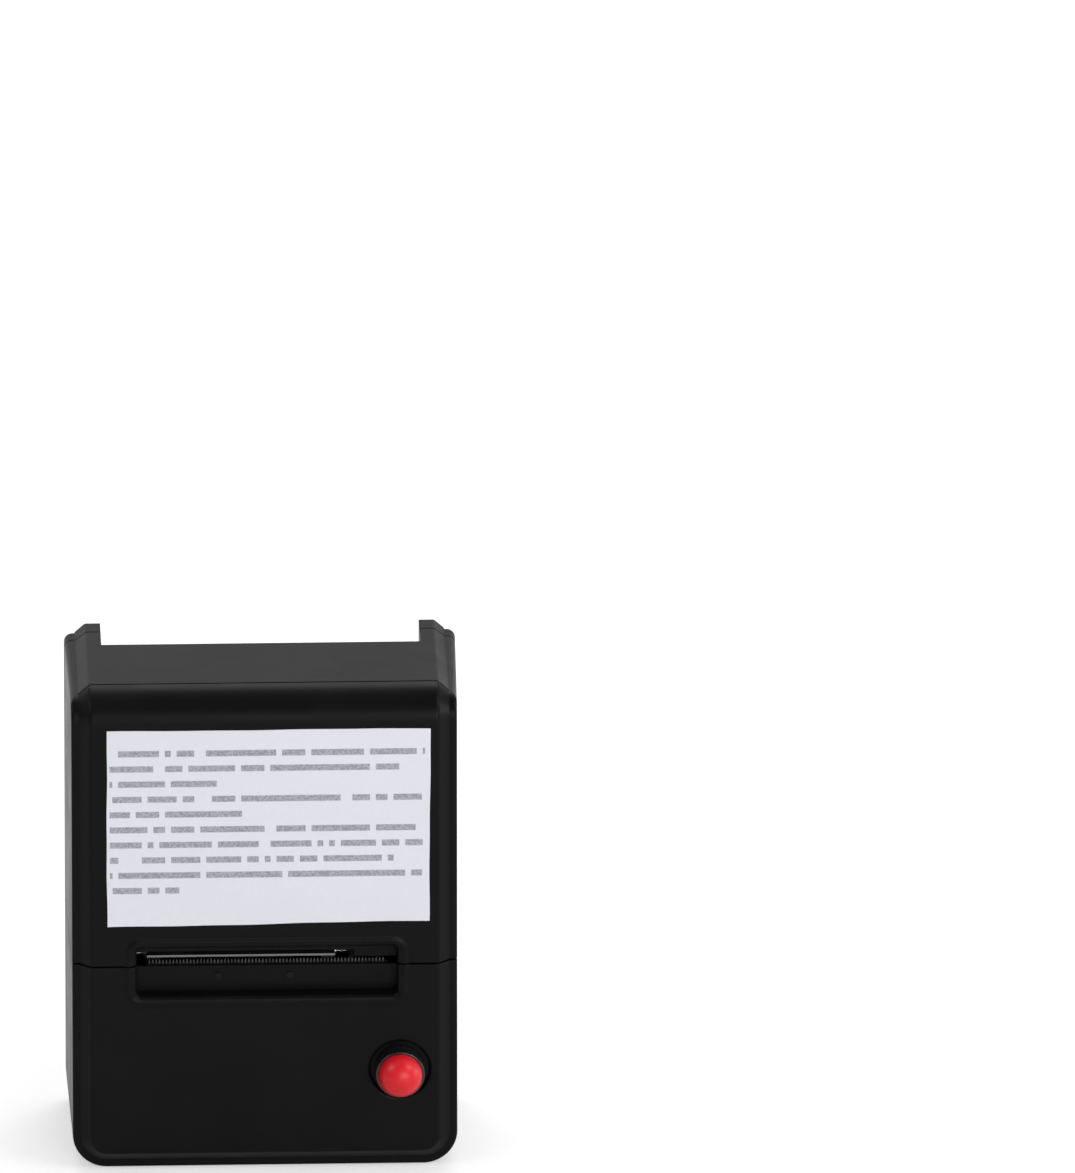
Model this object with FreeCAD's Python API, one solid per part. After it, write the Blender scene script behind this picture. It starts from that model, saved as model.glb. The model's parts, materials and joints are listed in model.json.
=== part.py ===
import FreeCAD, Part
import math
import os
from FreeCAD import Vector

# Countertop queue ticket printer, standing on its lower end. Millimetres.
# X runs to the right seen from the front, Y to the rear, Z up.
# The origin is the middle of the flat end that it stands on.

# Case outline
CASE_W = 112.0            # across the two side ledges, at the front
CASE_D = 55.0             # depth of the case behind the raised panel
CASE_H = 149.0            # height over the raised panel
SIDE_DRAFT = 1.0          # each side widens by this much from front to rear
WALL = 2.4                # moulded wall
CORNER_R = 10.0           # lower corners seen from the front
TOP_CORNER_R = 2.5        # upper corners seen from the front
REAR_R = 1.2              # rounding of the rear edges
FRONT_R = 0.8             # rounding of the ledges' front edges
PANEL_RISE = 3.0          # the raised panel stands this proud of the ledges
LEDGE_W = 2.2             # width of the ledge round the raised panel
BEVEL_W = 3.3             # width of the bevel between ledge and panel
RIDGE_R = 1.5             # rounding between panel and bevel
BROW_R = 10.0             # roll-over from the panel to the top
CREASE_BACK = 9.0         # crease across the top, behind the panel's face
CREASE_W = 0.5
CREASE_DEPTH = 0.5
SEAM_DROP = 85.0          # seam between lid and lower shell, below the top
SEAM_GAP = 0.4            # open width of every seam between lid and case
SEAM_R = 0.3              # softened edge below the seam
REAR_SHELL_D = 5.8        # depth of the rear shell's sides
WELD = 0.5                # how far a boss or rib runs into the wall it grows from
OVER = 1.0                # how far a cutting shape runs past what it cuts
TINY_R = 0.3              # least corner radius of an inner outline
FLAT_TOL = 0.001          # how closely points count as level

# Bay for the leads, at the top of the rear
HORN_W = 9.6              # from the case's side to the bay
BAY_L = 18.0              # from the rear forward
BAY_DEPTH = 12.0          # below the top
HORN_WALL = 2.0

# Lid hinge
HINGE_BACK = 18.5         # axis, forward of the rear
HINGE_DROP = 6.8          # axis, below the top
PIN_R = 1.5
PIN_CLEAR = 0.05          # radial running clearance of every pin and shaft
PIN_END_GAP = 0.2         # from a pin's ends to the walls beside them
POST_R = 2.6              # rounded top of a hinge post
POST_CLEAR = 0.4          # between a post's top and its pocket in the lid
POST_T = 3.2
POST_GAP = 0.8            # between a post and the horn's inner wall
POST_SPLAY = 45.0         # height of a post's root on the chassis
POST_RISE = 30.0
POST_STEP = 2.0
BOSS_R = 3.8              # hinge bosses on the lid's inner walls
SIDE_BOSS_R = 3.0         # hinge bosses on the lid's sides, under the ledge's top
BOSS_H = 0.8
PIN_IN_WALL = 1.2         # depth of the blind hole in the lid's side

# Ticket recess, its heights taken from the seam
RECESS_X = 0.6            # middle of the recess
RECESS_W = 75.8
RECESS_LOW = 9.6          # floor, below the seam
RECESS_HIGH = 5.4         # roof, above the seam
RECESS_DEPTH = 5.0
RECESS_WALL = 2.0
RECESS_R = 1.3
RIM_R = 1.4               # rounding round the mouth of the recess
LIP_RISE = 2.8            # lower edge of the lid's lip, above the seam
CURTAIN_T = 0.8           # the lip reaches down to the seam, this thick, in front of the gears
SILL_DROP = 1.8           # upper edge of the recess wall, below the seam
SHELF_L = 17.0            # shelf for the mechanism, behind the recess
SHELF_T = 2.0
SHELF_SIDE = 2.0          # the shelf runs this far past the frame
SHELF_BOSS_H = 5.0
MECH_SCREW_IN = 6.0       # the frame's screws, in from its sides
MECH_SCREW_BACK = 4.0     # and forward of its base plate's rear

# Tear bar and guide
TEAR_DROP = 0.2           # tips of the teeth, below the seam
TEAR_T = 0.8
TEAR_H = 6.8
TEAR_W = 69.6
TEAR_X = 0.8
TEAR_CLEAR = 0.1          # between the bar's ends and its slot
TOOTH_PITCH = 1.0
TOOTH_H = 1.2
RIVET_R = 0.7
RIVET_HEAD_R = 1.1
RIVET_HEAD_H = 0.4
RIVET_X = (-13.5, 7.4)
RIVET_RISE = 4.6          # above the recess floor
GUIDE_T = 0.6
GUIDE_GAP = 0.9           # paper gap between platen and guide
GUIDE_SIDE = 1.4          # the guide ends this far inside the paper's edges
GUIDE_FRONT_GAP = 0.4
GUIDE_LEG_W = 4.0
GUIDE_LEG_BACK = 4.0      # the legs stand this far in front of the platen's axis
GUIDE_END_DEG = -50.0

# Paper
PAPER_X = -6.8            # middle of the paper's width
PAPER_W = 57.5
ROLL_FRONT_GAP = 3.6      # from the full roll to the inside of the panel
ROLL_LIFT = 2.7           # from the mechanism frame to the roll's bucket
CORE_R = 8.5
CORE_BORE_R = 6.5

# Platen
PLATEN_BACK = 7.5         # axis, behind the recess wall
PLATEN_RISE = 6.5         # axis, above the seam
PLATEN_R = 5.0
PLATEN_W = 58.0
SHAFT_R = 2.0
SHAFT_OUT = 1.0           # the shaft stands this far out of the frame
BUSH_R = 3.5
BUSH_CLEAR = 0.35         # between a bush and its notch, on each side
EAR_T = 1.0
EAR_GAP = 0.8             # from the rubber to an ear, and from an ear to the frame
EAR_R = 5.0
EAR_TOP_L = 5.0           # an ear's length where it meets the web
EAR_FRONT_RISE = 1.0
WEB_RISE = (7.0, 17.5)    # the web's edges, above the platen's axis
WEB_T = 1.0
WEB_STANDOFF = 3.0        # height of the lid's bosses for the bracket
WEB_SCREW_DX = (-21.2, 20.8)
WEB_SCREW_SHORT = 0.4

# Mechanism frame, its depths taken from the platen's axis
FRAME_T = 1.2
FRAME_FORE = 5.0
FRAME_HEAD_RISE = 5.5     # top of the frame, above the platen's axis
FRAME_AFT = 15.0
FRAME_MOTOR_AFT = 32.0    # rear end of the plate that holds the motor
BASE_AFT = 8.0
BASE_FORE = 4.0
FRAME_TOE_H = 8.0
FRAME_NOSE = 1.0
FRAME_NOSE_DROP = 6.5
MOUTH_DEG = 160.6         # the bushes leave their notches in this direction
MOUTH_L = 12.0
BACK_PLATE_DROP = 1.0

# Print head
HEAD_GAP = 0.3            # between the platen and the ceramic
CERAMIC_T = 1.0
CERAMIC_W = 56.0
CERAMIC_REACH = (-6.5, 4.5)   # heights from the platen's axis
SINK_T = 3.0
SINK_W = 56.0
SINK_REACH = (-8.7, 5.1)
ROD_R = 1.0
ROD_AFT = 7.6
ROD_DROP = 10.9
LUG_R = 2.0
LUG_W = 4.0
HEAD_SPRING_DX = (-20.2, 5.8)
HEAD_SPRING_DROP = 0.5
HEAD_SPRING_R = 2.2
SPRING_WIRE_R = 0.25
SPRING_END_GAP = 0.05
SPRING_TURNS = 4
SENSOR_W = 6.0
SENSOR_D = 4.0
SENSOR_H = 4.0
SENSOR_FORE = 3.0
RIBBON_W = 18.0
RIBBON_T = 0.3
RIBBON_GAP = 0.5          # from the rod to the ribbon
RIBBON_DROP = 2.6         # from the rod down to the ribbon's run
HEAD_PLUG_REACH = 4.0     # the ribbon ends this far in front of the board

# Gears
MODULE = 0.5
PLATEN_TEETH = 22
IDLER_SMALL_TEETH = 14
IDLER_LARGE_TEETH = 36
PINION_TEETH = 12
ADDENDUM = 0.425
DEDENDUM = 0.55
TOOTH_SHARES = (-0.36, -0.20, -0.10, 0.10, 0.20, 0.36)    # a tooth's outline, in pitches
GEAR_W = 3.2
GEAR_GAP = 0.6            # from the frame to the first gear, and between the two layers
IDLER_DROP_DEG = 19.4     # the idler lies behind and below the platen by this angle
MOTOR_DROP_DEG = 20.0
STUB_R = 1.5
STUB_SHOULDER = 1.0
STUB_SHOULDER_GAP = 0.1
STUB_CLIP_GAP = 0.2
STUB_CLIP_T = 0.6
STUB_CLIP_H = 1.2
STUB_END = 1.2

# Motor
MOTOR_R = 10.0
MOTOR_L = 18.0
MOTOR_END_T = 1.9         # closed rear end of the can
MOTOR_EAR_PITCH = 25.0
MOTOR_EAR_R = 3.0
MOTOR_FLANGE_T = 0.8
MOTOR_SHAFT_R = 0.75
MOTOR_SHAFT_HOLE_R = 1.75
MOTOR_SIDE_GAP = 0.8      # from the can's rear end to the frame's back plate

# Chassis
CHASSIS_T = 2.0
CHASSIS_GAP = 2.1         # from the chassis to the board
CHASSIS_RISE = 11.7       # lower edge, above the seam
CHASSIS_DROP = 28.3       # upper edge, below the top
BUCKET_GAP = 0.3
BUCKET_T = 2.0
BUCKET_BITE = 0.2         # the bucket runs this far into the back plate
BUCKET_FROM_DEG = -120.0
BUCKET_TO_DEG = 15.0
CHEEK_T = 1.6
CHEEK_GAP = 0.6
CHEEK_WEB_H = 16.0
CHASSIS_SCREW_IN = 6.0    # its screws, in from its upper and lower edges

# Button
BTN_IN = 11.3             # axis, in from the panel's right edge
BTN_SHARE = 0.568         # height of the axis, as a share of the recess floor's
DISH_R = 8.5
DISH_DEPTH = 1.5
DISH_EDGE_R = 1.1
COLLAR_R = 7.1
COLLAR_RISE = 4.3         # the collar stands this far in front of the panel
COLLAR_EDGE_R = 0.25
CAP_R = 6.4
CAP_CLEAR = 0.1
CUP_FLOOR = 1.0
CAP_SKIRT = 1.2
CAP_LAND = 0.5
CAP_DOME = 5.6
CAP_POCKET = 2.6          # depth of the spring's pocket in the cap
CAP_POCKET_WALL = 0.3     # left round the stem
CAP_POCKET_SIDE = 0.9     # room outside the spring
BTN_TRAVEL = 2.5
BARREL_R = 5.9
BARREL_CLEAR = 0.1
BARREL_L = 13.0
STEM_R = 2.9
STEM_BORE_CLEAR = 0.1
STEM_OUT = 1.6            # the stem stands this far out of the barrel
CLIP_GAP = 0.05
CLIP_T = 0.7
CLIP_GROOVE = 0.5
CLIP_H = 1.0
CLIP_MOUTH_W = 2.4
SEAL_T = 0.6
SEAL_IN = 0.2
SEAL_CLEAR = 0.05
NUT_AF = 15.0
NUT_T = 3.0
SWITCH_W = 14.0
SWITCH_L = 12.0
SWITCH_GRIP = 3.0         # the block reaches this far forward round the barrel
SWITCH_ROOM = 0.6         # behind the stem when it is pressed
SWITCH_BORE_SIDE = 1.4
TERMINAL_DX = 2.5
TERMINAL_T = 0.8
TERMINAL_W = 2.8
TERMINAL_L = 5.0
LEAD_R = 0.6
LEAD_BEND = 4.0
LEAD_TO_BOARD = 2.5       # the leads rise this far in front of the board
BTN_SPRING_R = 4.4

# Board
BOARD_IN = 14.5           # the board's sides, in from the case's
BOARD_LOW = 24.0          # lower edge, below the seam
BOARD_TOP_GAP = 2.3       # upper edge, below the bay's floor
BOARD_T = 1.6
BOARD_STANDOFF = 1.4
BOARD_SCREW_IN = 4.0
BOARD_SCREW_TOP = 22.0
BOARD_SCREW_BITE = 0.3
CHIP_T = 1.2
CHIPS = ((-12.0, 52.0, 10.0, 10.0), (12.0, 56.0, 7.0, 9.0), (-4.0, 40.0, 12.0, 5.0),
         (24.0, 42.0, 6.0, 5.0))    # middle, height on the board, width and height of each
CAP_CAN_L = 9.0
CAP_CAN_R = 3.15
CAP_CAN_IN = (11.5, 19.5, 27.5)     # in from the board's left end
CAP_CAN_RISE = 7.0        # above the board's lower edge
HEADER_D = 5.0
HEADER_H = 6.0
HEADER_RISE = 10.0        # above the board's lower edge
HEADER_BTN_W = 7.0
HEADER_BTN_SHIFT = 3.0
HEADER_MOTOR_X = 14.0
HEADER_MOTOR_W = 12.0
HEADER_HEAD_W = 20.0
HEADER_HEAD_H = 5.0
HEADER_SLOT_H = 0.5
HEADER_SLOT_SIDE = 0.9
HEADER_SLOT_END = 0.1
JACK_X = -22.0
JACK_W = 9.0
JACK_D = 11.0
JACK_H = 13.0
JACK_BORE_R = 3.0
JACK_BORE_L = 9.5
JACK_PIN_R = 1.0
PORT_PIN_DROP = 1.0       # a port's pin or tongue ends this far below its mouth
USB_X = 14.0
USB_W = 12.0
USB_D = 10.8
USB_H = 14.0
USB_HOLE_W = 8.6
USB_HOLE_D = 7.8
USB_HOLE_L = 9.0
USB_TONGUE_W = 5.6
USB_TONGUE_D = 3.2
PORT_CLEAR = 0.3

# Fasteners and feet
SCREW_R = 1.2
SCREW_HEAD_R = 2.4
SCREW_HEAD_H = 1.6
SCREW_SLOT_W = 0.7
SCREW_SLOT_H = 0.7
SCREW_CLEAR = 0.2         # radial clearance where a screw passes through
SCREW_BOSS_R = 3.6
CASE_SCREW_IN = 10.0      # in from the case's sides
CASE_SCREW_LOW = 12.0
CASE_SCREW_DROP = 3.9     # upper pair, below the shelf
CASE_SCREW_BITE = 8.0
CASE_SCREW_HOLE_L = 12.0
CHASSIS_SCREW_SIDE = 8.0  # in from the case's sides
CHASSIS_SCREW_BITE = 4.5
MECH_SCREW_BITE = 3.5
FOOT_R = 5.0
FOOT_T = 2.0
FOOT_SUNK = 0.8
FOOT_CLEAR = 0.1
FOOT_IN = 14.0            # in from the case's sides
FOOT_LOW = 26.0
FOOT_DROP = 26.3

# Label
LABEL_LEFT = 4.5          # margins to the panel's edges
LABEL_RIGHT = 2.1
LABEL_TOP = 1.0           # below the start of the roll-over
LABEL_RISE = 12.4         # lower edge, above the seam
LABEL_T = 0.2

# Worked out from the sizes above
FRONT_Y = -CASE_D / 2
PANEL_Y = FRONT_Y - PANEL_RISE
REAR_Y = CASE_D / 2
PART_Y = REAR_Y - REAR_SHELL_D
HALF_W = CASE_W / 2
BEVEL_HALF_W = HALF_W - LEDGE_W
PANEL_HALF_W = BEVEL_HALF_W - BEVEL_W
PANEL_LOW_Z = LEDGE_W + BEVEL_W
BROW_Z = CASE_H - BROW_R
SEAM_Z = CASE_H - SEAM_DROP
SEAM_TOP_Z = SEAM_Z + SEAM_GAP / 2
SEAM_LOW_Z = SEAM_Z - SEAM_GAP / 2
BAY_Z = CASE_H - BAY_DEPTH
BAY_Y = REAR_Y - BAY_L
BAY_HALF_W = HALF_W - HORN_W
HINGE_Y = REAR_Y - HINGE_BACK
HINGE_Z = CASE_H - HINGE_DROP
HORN_R = PART_Y - SEAM_GAP / 2 - HINGE_Y
TOP_R = HINGE_Z - SEAM_TOP_Z
POST_IN = BAY_HALF_W + HORN_WALL + POST_GAP
POST_OUT = POST_IN + POST_T
LID_SIDE_IN = HALF_W - WALL
INNER_Y = PANEL_Y + WALL
REAR_IN_Y = REAR_Y - WALL
RECESS_X0 = RECESS_X - RECESS_W / 2
RECESS_X1 = RECESS_X + RECESS_W / 2
RECESS_LOW_Z = SEAM_Z - RECESS_LOW
RECESS_TOP_Z = SEAM_Z + RECESS_HIGH
RECESS_Y = PANEL_Y + RECESS_DEPTH
RECESS_BACK_Y = RECESS_Y + RECESS_WALL
LIP_Z = SEAM_Z + LIP_RISE
SILL_Z = SEAM_Z - SILL_DROP
SHELF_Z = RECESS_LOW_Z
SHELF_BACK_Y = RECESS_BACK_Y + SHELF_L
TEAR_TIP_Z = SEAM_Z - TEAR_DROP
TEAR_Y0 = RECESS_BACK_Y - TEAR_T
RIVET_Z = RECESS_LOW_Z + RIVET_RISE
PAPER_X0 = PAPER_X - PAPER_W / 2
PAPER_X1 = PAPER_X + PAPER_W / 2
PLATEN_Y = RECESS_BACK_Y + PLATEN_BACK
PLATEN_Z = SEAM_Z + PLATEN_RISE
PLATEN_X0 = PAPER_X - PLATEN_W / 2
PLATEN_X1 = PAPER_X + PLATEN_W / 2
EAR_L = PLATEN_X0 - EAR_GAP - EAR_T
EAR_RT = PLATEN_X1 + EAR_GAP
FRAME_L = EAR_L - EAR_GAP - FRAME_T
FRAME_RT = EAR_RT + EAR_T + EAR_GAP
FRAME_OUT = FRAME_RT + FRAME_T
FRAME_FRONT_Y = PLATEN_Y - FRAME_FORE
FRAME_BACK_Y = PLATEN_Y + FRAME_AFT
FRAME_MOTOR_Y = PLATEN_Y + FRAME_MOTOR_AFT
FRAME_TOP_Z = PLATEN_Z + FRAME_HEAD_RISE
BASE_Y0 = PLATEN_Y - BASE_FORE
BASE_Y1 = PLATEN_Y + BASE_AFT
MECH_SCREW_Y = BASE_Y1 - MECH_SCREW_BACK
MECH_SCREW_X = (FRAME_L + MECH_SCREW_IN, FRAME_RT - MECH_SCREW_IN)
LAYER1_X = FRAME_OUT + GEAR_GAP
LAYER2_X = LAYER1_X + GEAR_W + GEAR_GAP
LAYER2_END_X = LAYER2_X + GEAR_W
PLATEN_GEAR_R = MODULE * PLATEN_TEETH / 2
SMALL_R = MODULE * IDLER_SMALL_TEETH / 2
LARGE_R = MODULE * IDLER_LARGE_TEETH / 2
PINION_R = MODULE * PINION_TEETH / 2
IDLER_ANG = -math.radians(IDLER_DROP_DEG)
IDLER_Y = PLATEN_Y + (PLATEN_GEAR_R + SMALL_R) * math.cos(IDLER_ANG)
IDLER_Z = PLATEN_Z + (PLATEN_GEAR_R + SMALL_R) * math.sin(IDLER_ANG)
MOTOR_ANG = -math.radians(MOTOR_DROP_DEG)
MOTOR_Y = IDLER_Y + (LARGE_R + PINION_R) * math.cos(MOTOR_ANG)
MOTOR_Z = IDLER_Z + (LARGE_R + PINION_R) * math.sin(MOTOR_ANG)
MOTOR_EAR_Z = (MOTOR_Z - MOTOR_EAR_PITCH / 2, MOTOR_Z + MOTOR_EAR_PITCH / 2)
CERAMIC_Y = PLATEN_Y + PLATEN_R + HEAD_GAP
SINK_Y = CERAMIC_Y + CERAMIC_T
SINK_BACK_Y = SINK_Y + SINK_T
SINK_LOW_Z = PLATEN_Z + SINK_REACH[0]
ROD_Y = PLATEN_Y + ROD_AFT
ROD_Z = PLATEN_Z - ROD_DROP
RIBBON_Y = ROD_Y + ROD_R + RIBBON_GAP
RIBBON_Z = ROD_Z - RIBBON_DROP
GUIDE_R = PLATEN_R + GUIDE_GAP
WEB_Y = INNER_Y + WEB_STANDOFF
WEB_LOW_Z = PLATEN_Z + WEB_RISE[0]
WEB_TOP_Z = PLATEN_Z + WEB_RISE[1]
WEB_SCREW_Z = (WEB_LOW_Z + WEB_TOP_Z) / 2
WEB_SCREW_X = tuple(PAPER_X + dx for dx in WEB_SCREW_DX)
BOARD_HALF_W = HALF_W - BOARD_IN
BOARD_Y1 = REAR_IN_Y - BOARD_STANDOFF
BOARD_Y0 = BOARD_Y1 - BOARD_T
BOARD_Z0 = SEAM_Z - BOARD_LOW
BOARD_Z1 = BAY_Z - BOARD_TOP_GAP
HEADER_Z0 = BOARD_Z0 + HEADER_RISE
CHASSIS_Y = BOARD_Y0 - CHASSIS_GAP - CHASSIS_T
CHASSIS_BACK_Y = CHASSIS_Y + CHASSIS_T
CHASSIS_Z0 = SEAM_Z + CHASSIS_RISE
CHASSIS_Z1 = CASE_H - CHASSIS_DROP
CHASSIS_SCREW_X = HALF_W - CHASSIS_SCREW_SIDE
CHASSIS_SCREW_Z = (CHASSIS_Z0 + CHASSIS_SCREW_IN, CHASSIS_Z1 - CHASSIS_SCREW_IN)
ROLL_BACK_Y = CHASSIS_BACK_Y - BUCKET_BITE - BUCKET_T - BUCKET_GAP
ROLL_R = (ROLL_BACK_Y - INNER_Y - ROLL_FRONT_GAP) / 2
ROLL_Y = ROLL_BACK_Y - ROLL_R
ROLL_Z = FRAME_TOP_Z + ROLL_LIFT + BUCKET_T + BUCKET_GAP + ROLL_R
BTN_X = PANEL_HALF_W - BTN_IN
BTN_Z = RECESS_LOW_Z * BTN_SHARE
DISH_Y = PANEL_Y + DISH_DEPTH
DISH_BACK_Y = DISH_Y + WALL
SEAT_Y = DISH_Y - SEAL_T
COLLAR_Y = PANEL_Y - COLLAR_RISE
CUP_Y = SEAT_Y - CUP_FLOOR
CAP_Y = COLLAR_Y + CAP_SKIRT
BARREL_Y = SEAT_Y + BARREL_L
TERMINAL_Y = BARREL_Y + SWITCH_L
CASE_SCREW_X = HALF_W - CASE_SCREW_IN
CASE_SCREW_Z = (CASE_SCREW_LOW, SHELF_Z - SHELF_T - CASE_SCREW_DROP)
CASE_SCREW_SEAT_Y = REAR_Y - FOOT_SUNK - SCREW_HEAD_H
FOOT_X = HALF_W - FOOT_IN
FOOT_Z = (FOOT_LOW, CASE_H - FOOT_DROP)
FOOT_Y = REAR_Y - FOOT_SUNK
LABEL_X0 = LABEL_LEFT - PANEL_HALF_W
LABEL_X1 = PANEL_HALF_W - LABEL_RIGHT
LABEL_Z0 = SEAM_Z + LABEL_RISE
LABEL_Z1 = BROW_Z - LABEL_TOP


def box(x0, x1, y0, y1, z0, z1):
    return Part.makeBox(x1 - x0, y1 - y0, z1 - z0, Vector(x0, y0, z0))


def rod_x(x0, x1, y, z, r):
    return Part.makeCylinder(r, x1 - x0, Vector(x0, y, z), Vector(1, 0, 0))


def rod_y(y0, y1, x, z, r):
    return Part.makeCylinder(r, y1 - y0, Vector(x, y0, z), Vector(0, 1, 0))


def rod_z(z0, z1, x, y, r):
    return Part.makeCylinder(r, z1 - z0, Vector(x, y, z0), Vector(0, 0, 1))


def tube_x(x0, x1, y, z, r_out, r_in):
    return rod_x(x0, x1, y, z, r_out).cut(rod_x(x0, x1, y, z, r_in))


def tube_y(y0, y1, x, z, r_out, r_in):
    return rod_y(y0, y1, x, z, r_out).cut(rod_y(y0, y1, x, z, r_in))


def prism_x(points, x0, x1):
    """A polygon of (y, z) points carried along X."""
    corners = [Vector(x0, y, z) for y, z in points]
    face = Part.Face(Part.makePolygon(corners + corners[:1]))
    return face.extrude(Vector(x1 - x0, 0, 0))


def prism_y(points, y0, y1):
    """A polygon of (x, z) points carried along Y."""
    corners = [Vector(x, y0, z) for x, z in points]
    face = Part.Face(Part.makePolygon(corners + corners[:1]))
    return face.extrude(Vector(0, y1 - y0, 0))


def join(shapes):
    """One solid of shapes that share faces or overlap."""
    whole = shapes[0].multiFuse(shapes[1:]) if len(shapes) > 1 else shapes[0]
    return whole.removeSplitter()


def group(shapes):
    return Part.makeCompound(shapes)


def largest(shape):
    """The one solid of a cut shape, without the slivers that the cut leaves."""
    return max(shape.Solids, key=lambda solid: solid.Volume)


def arc_edge(a, mid, b):
    return Part.Arc(a, mid, b).toShape()


def outline(half_w, z0, z1, r_low, r_top, y):
    """Front view of the case: a rectangle with round corners, as a wire at depth y."""

    def at(x, z):
        return Vector(x, y, z)

    def corner(cx, cz, r, start_deg):
        a0 = math.radians(start_deg)
        a1 = a0 + math.pi / 4
        a2 = a0 + math.pi / 2
        ends = [at(cx + r * math.cos(a), cz + r * math.sin(a)) for a in (a0, a1, a2)]
        return arc_edge(ends[0], ends[1], ends[2])

    right, left = half_w, -half_w
    edges = [
        Part.makeLine(at(right, z0 + r_low), at(right, z1 - r_top)),
        corner(right - r_top, z1 - r_top, r_top, 0),
        Part.makeLine(at(right - r_top, z1), at(left + r_top, z1)),
        corner(left + r_top, z1 - r_top, r_top, 90),
        Part.makeLine(at(left, z1 - r_top), at(left, z0 + r_low)),
        corner(left + r_low, z0 + r_low, r_low, 180),
        Part.makeLine(at(left + r_low, z0), at(right - r_low, z0)),
        corner(right - r_low, z0 + r_low, r_low, 270),
    ]
    return Part.Wire(edges)


def side_profile(front_y, top_z, brow_r, rear_y, bottom_z, x):
    """Side view of the case: straight front, quarter-round brow, flat top."""
    s = brow_r * (1 - math.sqrt(0.5))
    a = Vector(x, front_y, bottom_z)
    b = Vector(x, front_y, top_z - brow_r)
    c = Vector(x, front_y + brow_r, top_z)
    d = Vector(x, rear_y, top_z)
    e = Vector(x, rear_y, bottom_z)
    mid = Vector(x, front_y + s, top_z - s)
    return Part.Wire([Part.makeLine(a, b), arc_edge(b, mid, c), Part.makeLine(c, d),
                      Part.makeLine(d, e), Part.makeLine(e, a)])


def slab_x(wire, x0, x1):
    return Part.Face(wire).extrude(Vector(x1 - x0, 0, 0))


def straight(edge):
    ends = [v.Point for v in edge.Vertexes]
    return edge.Length - ends[0].distanceToPoint(ends[-1]) < FLAT_TOL


def true_planes(solid):
    """The same solid with each straight-sided face as a plane."""
    faces = []
    for face in solid.Faces:
        wire = face.OuterWire
        if all(straight(edge) for edge in wire.Edges):
            corners = [v.Point for v in wire.OrderedVertexes]
            face = Part.Face(Part.makePolygon(corners + corners[:1]))
        faces.append(face)
    skin = Part.makeCompound(faces)
    skin.sewShape()
    whole = Part.Solid(skin.Shells[0])
    return whole if whole.Volume > 0 else whole.reversed()


def ledge_body(inset):
    """The case up to the ledges, drawn in by inset on every side but the rear's."""
    rear_half = HALF_W + SIDE_DRAFT - inset
    r_low = CORNER_R - inset
    r_top = max(TOP_CORNER_R - inset, TINY_R)
    top = CASE_H - PANEL_RISE - inset
    front = FRONT_Y + inset
    rear = REAR_Y - inset
    body = true_planes(Part.makeLoft([outline(HALF_W - inset, inset, top, r_low, r_top, front),
                                      outline(rear_half, inset, top, r_low, r_top, rear)],
                                     True, True))
    wire = side_profile(front, top, BROW_R - PANEL_RISE - inset, rear, 0, -CASE_W)
    return body.common(slab_x(wire, -CASE_W, CASE_W))


def raised_panel(inset):
    """The raised middle: panel, brow and top in one run, bevelled down to the ledges."""
    rear = REAR_Y - inset
    face_y = PANEL_Y + inset
    foot_y = FRONT_Y + inset
    over = CASE_H - inset
    past = BROW_Z + BROW_R
    foot = outline(BEVEL_HALF_W - inset, LEDGE_W + inset, past, CORNER_R - LEDGE_W, TINY_R, foot_y)
    flat = outline(PANEL_HALF_W - inset / 2, PANEL_LOW_Z + inset / 2, past,
                   CORNER_R - PANEL_LOW_Z, TINY_R, face_y)
    front = true_planes(Part.makeLoft([foot, flat], True, True))
    front = front.common(box(-CASE_W, CASE_W, PANEL_Y - OVER, foot_y + OVER, 0, BROW_Z))
    backing = Part.Face(foot).extrude(Vector(0, REAR_Y - FRONT_Y - 2 * inset, 0))
    backing = backing.common(box(-CASE_W, CASE_W, FRONT_Y, REAR_Y, 0, BROW_Z))
    half = PANEL_HALF_W - inset / 2
    high = side_profile(face_y, over, BROW_R - inset, rear, BROW_Z - BROW_R, -half)
    middle = slab_x(high, -half, half)
    sides = []
    for side in (-1, 1):
        near = side_profile(face_y, over, BROW_R - inset, rear, BROW_Z - BROW_R, side * half)
        far = side_profile(foot_y, over - PANEL_RISE, BROW_R - PANEL_RISE - inset, rear,
                           BROW_Z - BROW_R, side * (BEVEL_HALF_W - inset))
        sides.append(Part.makeLoft([near, far], True, True))
    upper = middle.multiFuse(sides).common(box(-CASE_W, CASE_W, PANEL_Y - OVER, REAR_Y, BROW_Z,
                                               CASE_H))
    return front.multiFuse([backing, upper])


def on_ridge(edge):
    """True for the edges between the panel and its bevels, from the foot to the far top."""
    points = [v.Point for v in edge.Vertexes]
    for p in points:
        at_side = abs(abs(p.x) - PANEL_HALF_W) < FLAT_TOL
        at_foot = abs(p.z - PANEL_LOW_Z) < FLAT_TOL
        if not (at_side or at_foot or (p.z < CORNER_R + FLAT_TOL and p.y < PANEL_Y + FLAT_TOL)):
            return False
    across = abs(points[0].x + points[-1].x) < FLAT_TOL
    return not (across and points[0].z > CORNER_R)


def on_front_edge(edge):
    """True for the ledges' front edges, below the brow."""
    points = [v.Point for v in edge.Vertexes]
    level = all(p.y < FRONT_Y + FLAT_TOL for p in points)
    return level and not all(p.z > BROW_Z - FLAT_TOL for p in points)


def on_rear_edge(edge):
    return all(abs(v.Point.y - REAR_Y) < FLAT_TOL for v in edge.Vertexes)


def bay(grow):
    """The bay at the top rear, grown by a wall where the case closes round it."""
    return box(-BAY_HALF_W - grow, BAY_HALF_W + grow, BAY_Y - grow, REAR_Y + OVER, BAY_Z - grow,
               CASE_H + OVER)


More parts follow.
